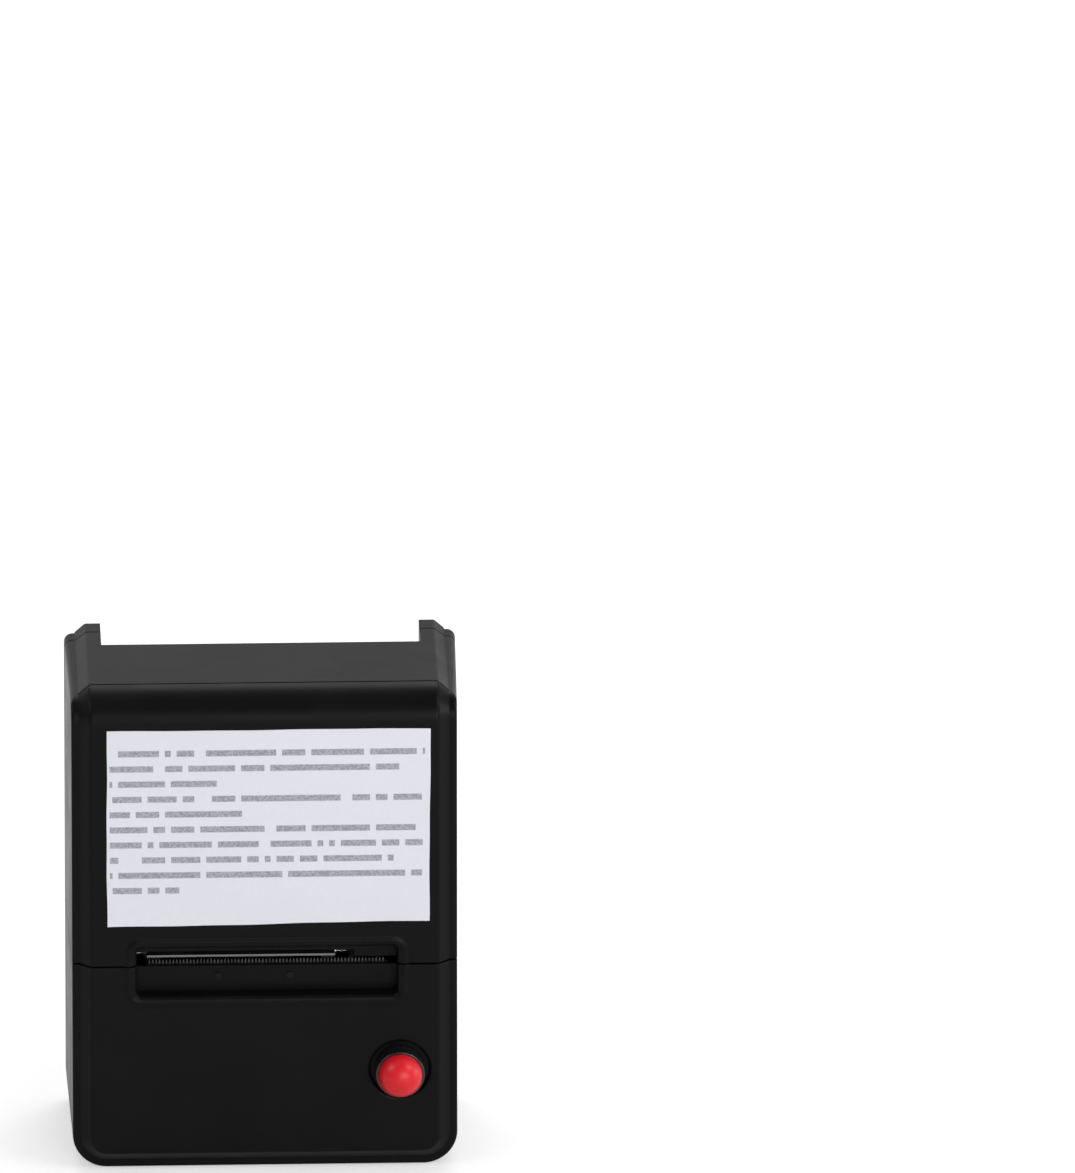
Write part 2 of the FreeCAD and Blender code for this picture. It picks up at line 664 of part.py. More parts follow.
def case_outside():
    """The whole outside in one solid, with its recess and dish, before it is hollowed."""
    body = ledge_body(0)
    body = body.makeFillet(REAR_R, [e for e in body.Edges if on_rear_edge(e)])
    body = body.makeFillet(FRONT_R, [e for e in body.Edges if on_front_edge(e)])
    raised = raised_panel(0).removeSplitter()
    raised = raised.makeFillet(RIDGE_R, [e for e in raised.Edges if on_ridge(e)])
    raised = raised.cut(rear_top_trim())
    groove = box(-BEVEL_HALF_W, BEVEL_HALF_W, PANEL_Y + CREASE_BACK - CREASE_W / 2,
                 PANEL_Y + CREASE_BACK + CREASE_W / 2, BROW_Z, CASE_H + OVER)
    groove = groove.cut(raised_panel(CREASE_DEPTH))
    whole = body.fuse(raised).cut(groove).removeSplitter()
    whole = soft_pocket(whole, recess_cut(), RIM_R)
    return soft_pocket(whole, dish_cut(), DISH_EDGE_R)


def rear_top_trim():
    """Rounds the raised panel's rear edge as the ledges' rear edge is rounded."""
    y = REAR_Y - REAR_R
    z = CASE_H - REAR_R
    corner = box(-CASE_W, CASE_W, y, REAR_Y + OVER, z, CASE_H + OVER)
    return corner.cut(rod_x(-CASE_W, CASE_W, y, z, REAR_R))


def soft_pocket(solid, pocket, r):
    """The solid with a pocket in its panel, the pocket's mouth rounded by r."""
    cut_solid = solid.cut(pocket)
    around = pocket.BoundBox
    mouth = []
    for edge in cut_solid.Edges:
        points = [v.Point for v in edge.Vertexes]
        level = all(abs(p.y - PANEL_Y) < FLAT_TOL for p in points)
        inside = all(around.XMin - FLAT_TOL < p.x < around.XMax + FLAT_TOL
                     and around.ZMin - FLAT_TOL < p.z < around.ZMax + FLAT_TOL for p in points)
        if level and inside:
            mouth.append(edge)
    return cut_solid.makeFillet(r, mouth)


def case_inside():
    low = ledge_body(WALL)
    high = raised_panel(WALL)
    return low.fuse(high)


def rounded_rect(x0, x1, z0, z1, r, y):
    half = (x1 - x0) / 2
    wire = outline(half, z0, z1, r, r, y)
    wire.translate(Vector((x0 + x1) / 2, 0, 0))
    return wire


def recess_cut():
    """The ticket recess: a pocket with round corners."""
    plain = rounded_rect(RECESS_X0, RECESS_X1, RECESS_LOW_Z, RECESS_TOP_Z, RECESS_R,
                         PANEL_Y - OVER)
    return Part.Face(plain).extrude(Vector(0, RECESS_DEPTH + OVER, 0))


def recess_walls():
    """Side, floor and back walls behind the recess, as one ring-shaped tray."""
    block = box(RECESS_X0 - RECESS_WALL, RECESS_X1 + RECESS_WALL, INNER_Y - WELD, RECESS_BACK_Y,
                RECESS_LOW_Z - RECESS_WALL, RECESS_TOP_Z + RECESS_WALL)
    return block.cut(recess_cut())


def case_skin():
    """The case's wall all round, with the bay walled in."""
    return case_outside().cut(bay(0)).cut(case_inside().cut(bay(HORN_WALL)))


def soft_seam(shell, side):
    """Rounds the shell's outer front edge along the seam; side is +1 for an upper edge."""
    z = SEAM_LOW_Z if side > 0 else SEAM_TOP_Z
    line = []
    for edge in shell.Edges:
        points = [v.Point for v in edge.Vertexes]
        if all(abs(p.z - z) < FLAT_TOL for p in points) and all(
                p.y < FRONT_Y + FRONT_R + FLAT_TOL for p in points):
            line.append(edge)
    return line


def above_horn_arc(r):
    """What lies above and behind the hinge axis and further from it than r."""
    block = box(-CASE_W, CASE_W, HINGE_Y, REAR_Y + OVER, HINGE_Z, CASE_H + OVER)
    return block.cut(rod_x(-CASE_W, CASE_W, HINGE_Y, HINGE_Z, r))


def bay_floor():
    half = BAY_HALF_W - SEAM_GAP
    return box(-half, half, BAY_Y - HORN_WALL, REAR_Y - REAR_R, BAY_Z - HORN_WALL, BAY_Z)


def soft_seam(shell, z):
    """Rounds the shell's outer edge along the front of the seam at height z."""
    line = []
    for edge in shell.Edges:
        points = [v.Point for v in edge.Vertexes]
        level = all(abs(p.z - z) < FLAT_TOL for p in points)
        ahead = all(p.y < FRONT_Y + FLAT_TOL for p in points)
        clear = all(not RECESS_X0 - RIM_R < p.x < RECESS_X1 + RIM_R for p in points)
        if level and ahead and (clear or edge.Length > RECESS_W):
            line.append(edge)
    return shell.makeFillet(SEAM_R, line)


def lid_bosses():
    """Bosses for the hinge pins and for the bracket's screws."""
    bosses = []
    for side in (-1, 1):
        x0, x1 = sorted((side * BAY_HALF_W, side * (BAY_HALF_W + HORN_WALL)))
        bosses.append(rod_x(x0, x1, HINGE_Y, HINGE_Z, BOSS_R))
        x0, x1 = sorted((side * (LID_SIDE_IN - BOSS_H), side * (LID_SIDE_IN + WELD)))
        bosses.append(rod_x(x0, x1, HINGE_Y, HINGE_Z, SIDE_BOSS_R))
    for x in WEB_SCREW_X:
        bosses.append(rod_y(INNER_Y - WELD, WEB_Y, x, WEB_SCREW_Z, SCREW_BOSS_R))
    return bosses


def make_lid(skin):
    front = skin.common(box(-CASE_W, CASE_W, PANEL_Y - OVER, PART_Y - SEAM_GAP / 2, SEAM_TOP_Z,
                            CASE_H + OVER))
    walls = recess_walls().common(box(-CASE_W, CASE_W, PANEL_Y - OVER, REAR_Y, SEAM_TOP_Z, CASE_H))
    below_lip = box(RECESS_X0, RECESS_X1, RECESS_Y, RECESS_BACK_Y + OVER, SEAM_Z, LIP_Z)
    curtain = box(FRAME_OUT, RECESS_X1, RECESS_BACK_Y - CURTAIN_T, RECESS_BACK_Y + OVER, SEAM_Z,
                  LIP_Z)
    lid = front.fuse(walls).cut(below_lip.cut(curtain))
    lid = lid.cut(above_horn_arc(HORN_R))
    low_rear = box(-CASE_W, CASE_W, HINGE_Y, REAR_Y, SEAM_Z, HINGE_Z)
    lid = lid.cut(low_rear.cut(rod_x(-CASE_W, CASE_W, HINGE_Y, HINGE_Z, TOP_R - SEAM_GAP / 2)))
    lid = lid.cut(box(-BAY_HALF_W, BAY_HALF_W, BAY_Y - HORN_WALL - OVER, PART_Y,
                      BAY_Z - HORN_WALL - SEAM_GAP, BAY_Z + SEAM_GAP))
    lid = lid.multiFuse(lid_bosses())
    pocket_r = POST_R + POST_CLEAR
    for side in (-1, 1):
        x0, x1 = sorted((side * (POST_IN - POST_CLEAR), side * (POST_OUT + POST_CLEAR)))
        lid = lid.cut(rod_x(x0, x1, HINGE_Y, HINGE_Z, pocket_r))
        lid = lid.cut(box(x0, x1, HINGE_Y, PART_Y, HINGE_Z - pocket_r, HINGE_Z + pocket_r))
    hole_end = LID_SIDE_IN + PIN_IN_WALL
    lid = lid.cut(rod_x(-hole_end, hole_end, HINGE_Y, HINGE_Z, PIN_R + PIN_CLEAR))
    for x in WEB_SCREW_X:
        lid = lid.cut(rod_y(WEB_Y + WEB_SCREW_SHORT - WEB_STANDOFF, WEB_Y, x, WEB_SCREW_Z, SCREW_R))
    return soft_seam(largest(lid.removeSplitter()), SEAM_TOP_Z)


def case_screw_places():
    return [(x, z) for x in (-CASE_SCREW_X, CASE_SCREW_X) for z in CASE_SCREW_Z]


def chassis_screw_places():
    return [(x, z) for x in (-CHASSIS_SCREW_X, CHASSIS_SCREW_X) for z in CHASSIS_SCREW_Z]


def board_screw_places():
    half = BOARD_HALF_W - BOARD_SCREW_IN
    return [(x, z) for x in (-half, half)
            for z in (BOARD_Z0 + BOARD_SCREW_IN, BOARD_Z1 - BOARD_SCREW_TOP)]


def foot_places():
    return [(x, z) for x in (-FOOT_X, FOOT_X) for z in FOOT_Z]


def make_rear_shell(skin):
    rear = skin.common(box(-CASE_W, CASE_W, PART_Y + SEAM_GAP / 2, REAR_Y + OVER, -OVER,
                           CASE_H + OVER))
    tips = skin.common(above_horn_arc(HORN_R + SEAM_GAP))
    tips = tips.common(box(-CASE_W, CASE_W, HINGE_Y + OVER, PART_Y + OVER, HINGE_Z,
                           CASE_H + OVER))
    tips = tips.cut(box(-BAY_HALF_W, BAY_HALF_W, PANEL_Y, REAR_Y, 0, CASE_H + OVER))
    parts = [tips, bay_floor()]
    inner = REAR_IN_Y + WELD
    for x, z in case_screw_places():
        parts.append(rod_y(PART_Y, inner, x, z, SCREW_BOSS_R))
    for x, z in chassis_screw_places():
        parts.append(rod_y(CHASSIS_BACK_Y, inner, x, z, SCREW_BOSS_R))
    for x, z in board_screw_places():
        parts.append(rod_y(BOARD_Y1, inner, x, z, SCREW_BOSS_R))
    shell = rear.multiFuse(parts)
    for x, z in case_screw_places():
        shell = shell.cut(rod_y(PART_Y - OVER, REAR_Y + OVER, x, z, SCREW_R + SCREW_CLEAR))
        shell = shell.cut(rod_y(CASE_SCREW_SEAT_Y, REAR_Y + OVER, x, z,
                                SCREW_HEAD_R + SCREW_CLEAR))
    for x, z in chassis_screw_places():
        shell = shell.cut(rod_y(CHASSIS_Y, CHASSIS_Y + CHASSIS_T + CHASSIS_SCREW_BITE, x, z,
                                SCREW_R))
    for x, z in board_screw_places():
        shell = shell.cut(rod_y(BOARD_Y0, BOARD_Y1 + BOARD_STANDOFF + BOARD_SCREW_BITE, x, z,
                                SCREW_R))
    for x, z in foot_places():
        shell = shell.cut(rod_y(FOOT_Y, REAR_Y + OVER, x, z, FOOT_R + FOOT_CLEAR))
    shell = shell.cut(port_shape(JACK_X, JACK_W, JACK_D, JACK_H, PORT_CLEAR))
    shell = shell.cut(port_shape(USB_X, USB_W, USB_D, USB_H, PORT_CLEAR))
    return largest(shell.removeSplitter())


def make_lower_shell(skin):
    low = skin.common(box(-CASE_W, CASE_W, PANEL_Y - OVER, PART_Y + SEAM_GAP / 2, -OVER,
                          SEAM_LOW_Z))
    tray = recess_walls().common(box(-CASE_W, CASE_W, PANEL_Y - OVER, REAR_Y, 0, SEAM_LOW_Z))
    above_sill = box(RECESS_X0, RECESS_X1, RECESS_Y, RECESS_BACK_Y + OVER, SILL_Z, SEAM_Z)
    under = SHELF_Z - SHELF_T
    shelf = box(FRAME_L - SHELF_SIDE, FRAME_OUT + SHELF_SIDE, RECESS_BACK_Y - WELD, SHELF_BACK_Y,
                under, SHELF_Z)
    back_of_dish = rod_y(INNER_Y - WELD, DISH_BACK_Y, BTN_X, BTN_Z, DISH_R + WALL)
    parts = [tray, shelf, back_of_dish.cut(dish_cut())]
    for x in MECH_SCREW_X:
        parts.append(rod_z(under - SHELF_BOSS_H, under + WELD, x, MECH_SCREW_Y, SCREW_BOSS_R))
    for x, z in case_screw_places():
        parts.append(rod_y(INNER_Y - WELD, PART_Y, x, z, SCREW_BOSS_R))
    shell = low.multiFuse(parts).cut(above_sill)
    shell = shell.cut(box(TEAR_X - TEAR_W / 2 - TEAR_CLEAR, TEAR_X + TEAR_W / 2 + TEAR_CLEAR,
                          TEAR_Y0, RECESS_BACK_Y + OVER, TEAR_TIP_Z - TEAR_H, SEAM_Z))
    shell = shell.cut(rod_y(DISH_Y - OVER, DISH_BACK_Y + OVER, BTN_X, BTN_Z,
                            BARREL_R + BARREL_CLEAR))
    for x in RIVET_X:
        shell = shell.cut(rod_y(RECESS_Y - OVER, RECESS_BACK_Y + OVER, x, RIVET_Z, RIVET_R))
    for x in MECH_SCREW_X:
        shell = shell.cut(rod_z(under - MECH_SCREW_BITE, SHELF_Z + OVER, x, MECH_SCREW_Y, SCREW_R))
    for x, z in case_screw_places():
        shell = shell.cut(rod_y(PART_Y - CASE_SCREW_HOLE_L, PART_Y + OVER, x, z, SCREW_R))
    return soft_seam(largest(shell.removeSplitter()), SEAM_LOW_Z)


def dish_cut():
    """Shallow round dish for the button."""
    return rod_y(PANEL_Y - OVER, DISH_Y, BTN_X, BTN_Z, DISH_R)


def make_label():
    return box(LABEL_X0, LABEL_X1, PANEL_Y - LABEL_T, PANEL_Y, LABEL_Z0, LABEL_Z1)


def make_tear_bar():
    """Thin blade whose upper edge is cut into even teeth."""
    x0 = TEAR_X - TEAR_W / 2
    count = int(TEAR_W // TOOTH_PITCH)
    root = TEAR_TIP_Z - TOOTH_H
    points = [(x0, TEAR_TIP_Z - TEAR_H), (x0, root)]
    for i in range(count):
        left = x0 + i * TOOTH_PITCH
        points.append((left + TOOTH_PITCH / 2, TEAR_TIP_Z))
        points.append((left + TOOTH_PITCH, root))
    x1 = TEAR_X + TEAR_W / 2
    points += [(x1, root - FLAT_TOL), (x1, TEAR_TIP_Z - TEAR_H)]
    blade = prism_y(points, TEAR_Y0, TEAR_Y0 + TEAR_T)
    for x in RIVET_X:
        blade = blade.cut(rod_y(TEAR_Y0 - OVER, TEAR_Y0 + TEAR_T + OVER, x, RIVET_Z, RIVET_R))
    return blade


def make_rivets():
    rivets = []
    for x in RIVET_X:
        shank = rod_y(RECESS_Y, TEAR_Y0 + TEAR_T, x, RIVET_Z, RIVET_R)
        head = rod_y(RECESS_Y - RIVET_HEAD_H, RECESS_Y, x, RIVET_Z, RIVET_HEAD_R)
        tail = rod_y(TEAR_Y0 + TEAR_T, TEAR_Y0 + TEAR_T + RIVET_HEAD_H, x, RIVET_Z, RIVET_HEAD_R)
        rivets.append(join([shank, head, tail]))
    return group(rivets)


def make_guide():
    """Bent steel strip: a curl under the platen, then a flat lip towards the slot."""
    lip_z = PLATEN_Z - GUIDE_R
    front_y = RECESS_BACK_Y + GUIDE_FRONT_GAP
    x0 = PAPER_X0 + GUIDE_SIDE
    x1 = PAPER_X1 - GUIDE_SIDE
    low = -math.pi / 2
    end = math.radians(GUIDE_END_DEG)
    mid = (low + end) / 2

    def ring(r, ang):
        return Vector(x0, PLATEN_Y + r * math.cos(ang), PLATEN_Z + r * math.sin(ang))

    outer = GUIDE_R + GUIDE_T
    lip_top = Vector(x0, front_y, lip_z)
    lip_under = Vector(x0, front_y, lip_z - GUIDE_T)
    edges = [
        Part.makeLine(lip_top, ring(GUIDE_R, low)),
        arc_edge(ring(GUIDE_R, low), ring(GUIDE_R, mid), ring(GUIDE_R, end)),
        Part.makeLine(ring(GUIDE_R, end), ring(outer, end)),
        arc_edge(ring(outer, end), ring(outer, mid), ring(outer, low)),
        Part.makeLine(ring(outer, low), lip_under),
        Part.makeLine(lip_under, lip_top),
    ]
    parts = [slab_x(Part.Wire(edges), x0, x1)]
    leg_y = PLATEN_Y - GUIDE_LEG_BACK
    for x in (x0, x1 - GUIDE_LEG_W):
        parts.append(box(x, x + GUIDE_LEG_W, leg_y, leg_y + GUIDE_T, SHELF_Z + FRAME_T,
                         lip_z - GUIDE_T / 2))
    return join(parts)


def make_platen_roller():
    return tube_x(PLATEN_X0, PLATEN_X1, PLATEN_Y, PLATEN_Z, PLATEN_R, SHAFT_R)


def make_platen_shaft():
    return rod_x(FRAME_L - SHAFT_OUT, LAYER1_X + GEAR_W, PLATEN_Y, PLATEN_Z, SHAFT_R)


def make_platen_bushes():
    left = tube_x(FRAME_L, EAR_L + EAR_T, PLATEN_Y, PLATEN_Z, BUSH_R, SHAFT_R + PIN_CLEAR)
    right = tube_x(EAR_RT, FRAME_OUT, PLATEN_Y, PLATEN_Z, BUSH_R, SHAFT_R + PIN_CLEAR)
    return group([left, right])


def make_platen_bracket():
    """Steel bracket on the lid: a web with two ears that hold the platen's bushes."""
    far = EAR_RT + EAR_T
    parts = [box(EAR_L, far, WEB_Y, WEB_Y + WEB_T, WEB_LOW_Z, WEB_TOP_Z)]
    arm = [(WEB_Y, WEB_TOP_Z), (WEB_Y, WEB_LOW_Z), (PLATEN_Y - EAR_R, PLATEN_Z + EAR_FRONT_RISE),
           (PLATEN_Y, PLATEN_Z), (PLATEN_Y + EAR_R, PLATEN_Z), (WEB_Y + EAR_TOP_L, WEB_TOP_Z)]
    for x in (EAR_L, EAR_RT):
        parts.append(prism_x(arm, x, x + EAR_T))
        parts.append(rod_x(x, x + EAR_T, PLATEN_Y, PLATEN_Z, EAR_R))
    bracket = join(parts).cut(rod_x(EAR_L - OVER, far + OVER, PLATEN_Y, PLATEN_Z, BUSH_R))
    for x in WEB_SCREW_X:
        bracket = bracket.cut(rod_y(WEB_Y - OVER, WEB_Y + WEB_T + OVER, x, WEB_SCREW_Z,
                                    SCREW_R + SCREW_CLEAR))
    return bracket


def screw_y(y_seat, x, z, length, towards):
    """Pan-head screw along Y, its head's seat at y_seat and its tip towards that side."""
    tip = y_seat + towards * length
    top = y_seat - towards * SCREW_HEAD_H
    shank = rod_y(min(y_seat, tip), max(y_seat, tip), x, z, SCREW_R)
    head = rod_y(min(y_seat, top), max(y_seat, top), x, z, SCREW_HEAD_R)
    floor = top + towards * SCREW_SLOT_H
    slot = box(x - SCREW_HEAD_R, x + SCREW_HEAD_R, min(top, floor), max(top, floor),
               z - SCREW_SLOT_W / 2, z + SCREW_SLOT_W / 2)
    return shank.fuse(head).cut(slot).removeSplitter()


def make_bracket_screws():
    length = WEB_T + WEB_STANDOFF - WEB_SCREW_SHORT
    return group([screw_y(WEB_Y + WEB_T, x, WEB_SCREW_Z, length, -1) for x in WEB_SCREW_X])


def gear(teeth, x0, x1, y, z, bore, tip_angle):
    """Spur gear with straight-flanked teeth; one tooth points along tip_angle."""
    pitch_r = MODULE * teeth / 2
    tip_r = pitch_r + ADDENDUM
    root_r = pitch_r - DEDENDUM
    step = 2 * math.pi / teeth
    points = []
    for i in range(teeth):
        mid = tip_angle + i * step
        for share, r in zip(TOOTH_SHARES, (root_r, pitch_r, tip_r, tip_r, pitch_r, root_r)):
            a = mid + share * step
            points.append((y + r * math.cos(a), z + r * math.sin(a)))
    blank = prism_x(points, x0, x1)
    return blank.cut(rod_x(x0 - OVER, x1 + OVER, y, z, bore)) if bore else blank


def make_platen_gear():
    return gear(PLATEN_TEETH, LAYER1_X, LAYER1_X + GEAR_W, PLATEN_Y, PLATEN_Z, SHAFT_R, IDLER_ANG)


def make_idler_gear():
    """Compound gear: the small one meets the platen's gear, the large one the pinion."""
    step = 2 * math.pi / IDLER_SMALL_TEETH
    small = gear(IDLER_SMALL_TEETH, LAYER1_X, LAYER2_X, IDLER_Y, IDLER_Z, 0,
                 IDLER_ANG + math.pi + step / 2)
    large = gear(IDLER_LARGE_TEETH, LAYER2_X, LAYER2_END_X, IDLER_Y, IDLER_Z, 0, MOTOR_ANG)
    bore = rod_x(LAYER1_X - OVER, LAYER2_END_X + OVER, IDLER_Y, IDLER_Z, STUB_R + PIN_CLEAR)
    return small.fuse(large).cut(bore)


def make_idler_axle():
    clip_x = LAYER2_END_X + STUB_CLIP_GAP
    axle = rod_x(FRAME_RT, LAYER2_END_X + STUB_END, IDLER_Y, IDLER_Z, STUB_R)
    shoulder = rod_x(FRAME_OUT, LAYER1_X - STUB_SHOULDER_GAP, IDLER_Y, IDLER_Z,
                     STUB_R + STUB_SHOULDER)
    clip = rod_x(clip_x, clip_x + STUB_CLIP_T, IDLER_Y, IDLER_Z, STUB_R + STUB_CLIP_H)
    return join([axle, shoulder, clip])


def make_motor_pinion():
    """Motor shaft and pinion in one turned piece."""
    step = 2 * math.pi / PINION_TEETH
    teeth = gear(PINION_TEETH, LAYER2_X, LAYER2_END_X, MOTOR_Y, MOTOR_Z, 0,
                 MOTOR_ANG + math.pi + step / 2)
    inner_end = FRAME_RT - MOTOR_L + MOTOR_END_T + STUB_SHOULDER_GAP
    return teeth.fuse(rod_x(inner_end, LAYER2_END_X, MOTOR_Y, MOTOR_Z, MOTOR_SHAFT_R))


def make_motor():
    """Round can with an eared flange, bored for its shaft."""
    flange_x = FRAME_RT - MOTOR_FLANGE_T
    parts = [rod_x(FRAME_RT - MOTOR_L, FRAME_RT, MOTOR_Y, MOTOR_Z, MOTOR_R)]
    for z in MOTOR_EAR_Z:
        parts.append(rod_x(flange_x, FRAME_RT, MOTOR_Y, z, MOTOR_EAR_R))
    parts.append(box(flange_x, FRAME_RT, MOTOR_Y - MOTOR_EAR_R, MOTOR_Y + MOTOR_EAR_R,
                     MOTOR_EAR_Z[0], MOTOR_EAR_Z[1]))
    motor = join(parts)
    motor = motor.cut(rod_x(FRAME_RT - MOTOR_L + MOTOR_END_T, FRAME_RT + OVER, MOTOR_Y, MOTOR_Z,
                            MOTOR_SHAFT_R + PIN_CLEAR))
    for z in MOTOR_EAR_Z:
        motor = motor.cut(rod_x(flange_x - OVER, FRAME_RT + OVER, MOTOR_Y, z, SCREW_R))
    return motor


def make_motor_screws():
    seat = FRAME_RT - MOTOR_FLANGE_T
    screws = []
    for z in MOTOR_EAR_Z:
        shank = rod_x(seat, FRAME_OUT, MOTOR_Y, z, SCREW_R)
        head = rod_x(seat - SCREW_HEAD_H, seat, MOTOR_Y, z, SCREW_HEAD_R)
        screws.append(shank.fuse(head))
    return group(screws)


def frame_side(x, back_y):
    """Side plate with the open notch that takes a platen bush."""
    nose_y = PLATEN_Y - FRAME_NOSE
    points = [(FRAME_FRONT_Y, SHELF_Z), (FRAME_FRONT_Y, SHELF_Z + FRAME_TOE_H),
              (nose_y, PLATEN_Z - FRAME_NOSE_DROP), (nose_y, FRAME_TOP_Z), (back_y, FRAME_TOP_Z),
              (back_y, SHELF_Z)]
    plate = prism_x(points, x, x + FRAME_T)
    r = BUSH_R + BUSH_CLEAR
    seat = rod_x(x - OVER, x + FRAME_T + OVER, PLATEN_Y, PLATEN_Z, r)
    ang = math.radians(MOUTH_DEG)
    dy, dz = math.cos(ang), math.sin(ang)
    mouth = []
    for along, across in ((0, r), (MOUTH_L, r), (MOUTH_L, -r), (0, -r)):
        mouth.append((PLATEN_Y + along * dy - across * dz, PLATEN_Z + along * dz + across * dy))
    return plate.cut(seat).cut(prism_x(mouth, x - OVER, x + FRAME_T + OVER))


def make_mechanism_frame():
    """Bent steel frame: two side plates, a base plate and a back plate."""
    low = SHELF_Z
    left = frame_side(FRAME_L, FRAME_BACK_Y + FRAME_T)
    right = frame_side(FRAME_RT, FRAME_MOTOR_Y)
    base = box(FRAME_L, FRAME_OUT, BASE_Y0, BASE_Y1, low, low + FRAME_T)
    back = box(FRAME_L, FRAME_RT - MOTOR_L - MOTOR_SIDE_GAP, FRAME_BACK_Y, FRAME_BACK_Y + FRAME_T,
               low + FRAME_TOE_H, FRAME_TOP_Z - BACK_PLATE_DROP)
    frame = join([left, right, base, back])
    x0 = FRAME_RT - OVER
    x1 = FRAME_OUT + OVER
    frame = frame.cut(rod_x(x0, x1, MOTOR_Y, MOTOR_Z, MOTOR_SHAFT_HOLE_R))
    frame = frame.cut(rod_x(x0, x1, IDLER_Y, IDLER_Z, STUB_R))
    for z in MOTOR_EAR_Z:
        frame = frame.cut(rod_x(x0, x1, MOTOR_Y, z, SCREW_R))
    frame = frame.cut(rod_x(FRAME_L - OVER, x1, ROD_Y, ROD_Z, ROD_R))
    for x in MECH_SCREW_X:
        frame = frame.cut(rod_z(low - OVER, low + FRAME_T + OVER, x, MECH_SCREW_Y,
                                SCREW_R + SCREW_CLEAR))
    return frame


def make_mechanism_screws():
    seat = SHELF_Z + FRAME_T
    screws = []
    for x in MECH_SCREW_X:
        shank = rod_z(SHELF_Z - SHELF_T - MECH_SCREW_BITE, seat, x, MECH_SCREW_Y, SCREW_R)
        head = rod_z(seat, seat + SCREW_HEAD_H, x, MECH_SCREW_Y, SCREW_HEAD_R)
        screws.append(shank.fuse(head))
    return group(screws)


def make_head_rod():
    return rod_x(FRAME_L, FRAME_OUT, ROD_Y, ROD_Z, ROD_R)


def make_head_sink():
    """Aluminium plate with two lugs that turn on the rod."""
    x0 = PAPER_X - SINK_W / 2
    x1 = PAPER_X + SINK_W / 2
    parts = [box(x0, x1, SINK_Y, SINK_BACK_Y, SINK_LOW_Z, PLATEN_Z + SINK_REACH[1])]
    for x in (x0, x1 - LUG_W):
        parts.append(rod_x(x, x + LUG_W, ROD_Y, ROD_Z, LUG_R))
        parts.append(box(x, x + LUG_W, SINK_Y, SINK_BACK_Y, ROD_Z, SINK_LOW_Z))
    return join(parts).cut(rod_x(x0 - OVER, x1 + OVER, ROD_Y, ROD_Z, ROD_R + PIN_CLEAR))


def make_head_ceramic():
    half = CERAMIC_W / 2
    return box(PAPER_X - half, PAPER_X + half, CERAMIC_Y, SINK_Y, PLATEN_Z + CERAMIC_REACH[0],
               PLATEN_Z + CERAMIC_REACH[1])


def coil_y(y0, y1, x, z, r):
    """Compression spring along Y: a six-sided wire carried along a helix in short straights."""
    per_turn = 12
    sides = 6
    count = SPRING_TURNS * per_turn
    start = y0 + SPRING_END_GAP + SPRING_WIRE_R
    run = y1 - SPRING_END_GAP - SPRING_WIRE_R - start
    rings = []
    for i in range(count + 1):
        a = 2 * math.pi * i / per_turn
        y = start + run * i / count
        ring = []
        for k in range(sides):
            b = 2 * math.pi * k / sides
            far = r + SPRING_WIRE_R * math.cos(b)
            ring.append(Vector(x + far * math.cos(a), y + SPRING_WIRE_R * math.sin(b),
                               z + far * math.sin(a)))
        rings.append(ring)
    faces = []
    for here, ahead in zip(rings, rings[1:]):
        for k in range(sides):
            n = (k + 1) % sides
            faces.append(Part.Face(Part.makePolygon([here[k], here[n], ahead[n], here[k]])))
            faces.append(Part.Face(Part.makePolygon([here[k], ahead[n], ahead[k], here[k]])))
    for ring in (rings[0], rings[-1]):
        for k in range(1, sides - 1):
            faces.append(Part.Face(Part.makePolygon([ring[0], ring[k], ring[k + 1], ring[0]])))
    spring = Part.Solid(Part.Shell(faces))
    return spring if spring.Volume > 0 else spring.reversed()


def make_head_springs():
    z = PLATEN_Z - HEAD_SPRING_DROP
    return group([coil_y(SINK_BACK_Y, FRAME_BACK_Y, PAPER_X + dx, z, HEAD_SPRING_R)
                  for dx in HEAD_SPRING_DX])


def make_paper_sensor():
    half = SENSOR_W / 2
    y0 = PLATEN_Y - SENSOR_FORE
    z0 = SHELF_Z + FRAME_T
    return box(PAPER_X - half, PAPER_X + half, y0, y0 + SENSOR_D, z0, z0 + SENSOR_H)


def make_head_ribbon():
    """Flat flexible lead from the head down and back to the board."""
    x0 = PAPER_X - RIBBON_W / 2
    x1 = PAPER_X + RIBBON_W / 2
    drop = box(x0, x1, RIBBON_Y, RIBBON_Y + RIBBON_T, RIBBON_Z, SINK_LOW_Z - RIBBON_T)
    run = box(x0, x1, RIBBON_Y, BOARD_Y0 - HEAD_PLUG_REACH, RIBBON_Z - RIBBON_T, RIBBON_Z)
    return join([drop, run])


def make_paper_roll():
    return tube_x(PAPER_X0, PAPER_X1, ROLL_Y, ROLL_Z, ROLL_R, CORE_R)


def make_paper_core():
    return tube_x(PAPER_X0, PAPER_X1, ROLL_Y, ROLL_Z, CORE_R, CORE_BORE_R)


def bucket_wedge(r):
    """Sector of the roll bucket, as a wedge as far as radius r."""
    a0 = math.radians(BUCKET_FROM_DEG)
    a1 = math.radians(BUCKET_TO_DEG)
    steps = 6
    far = r * 1.3
    points = [(ROLL_Y, ROLL_Z)]
    for i in range(steps + 1):
        a = a0 + (a1 - a0) * i / steps
        points.append((ROLL_Y + far * math.cos(a), ROLL_Z + far * math.sin(a)))
    return points


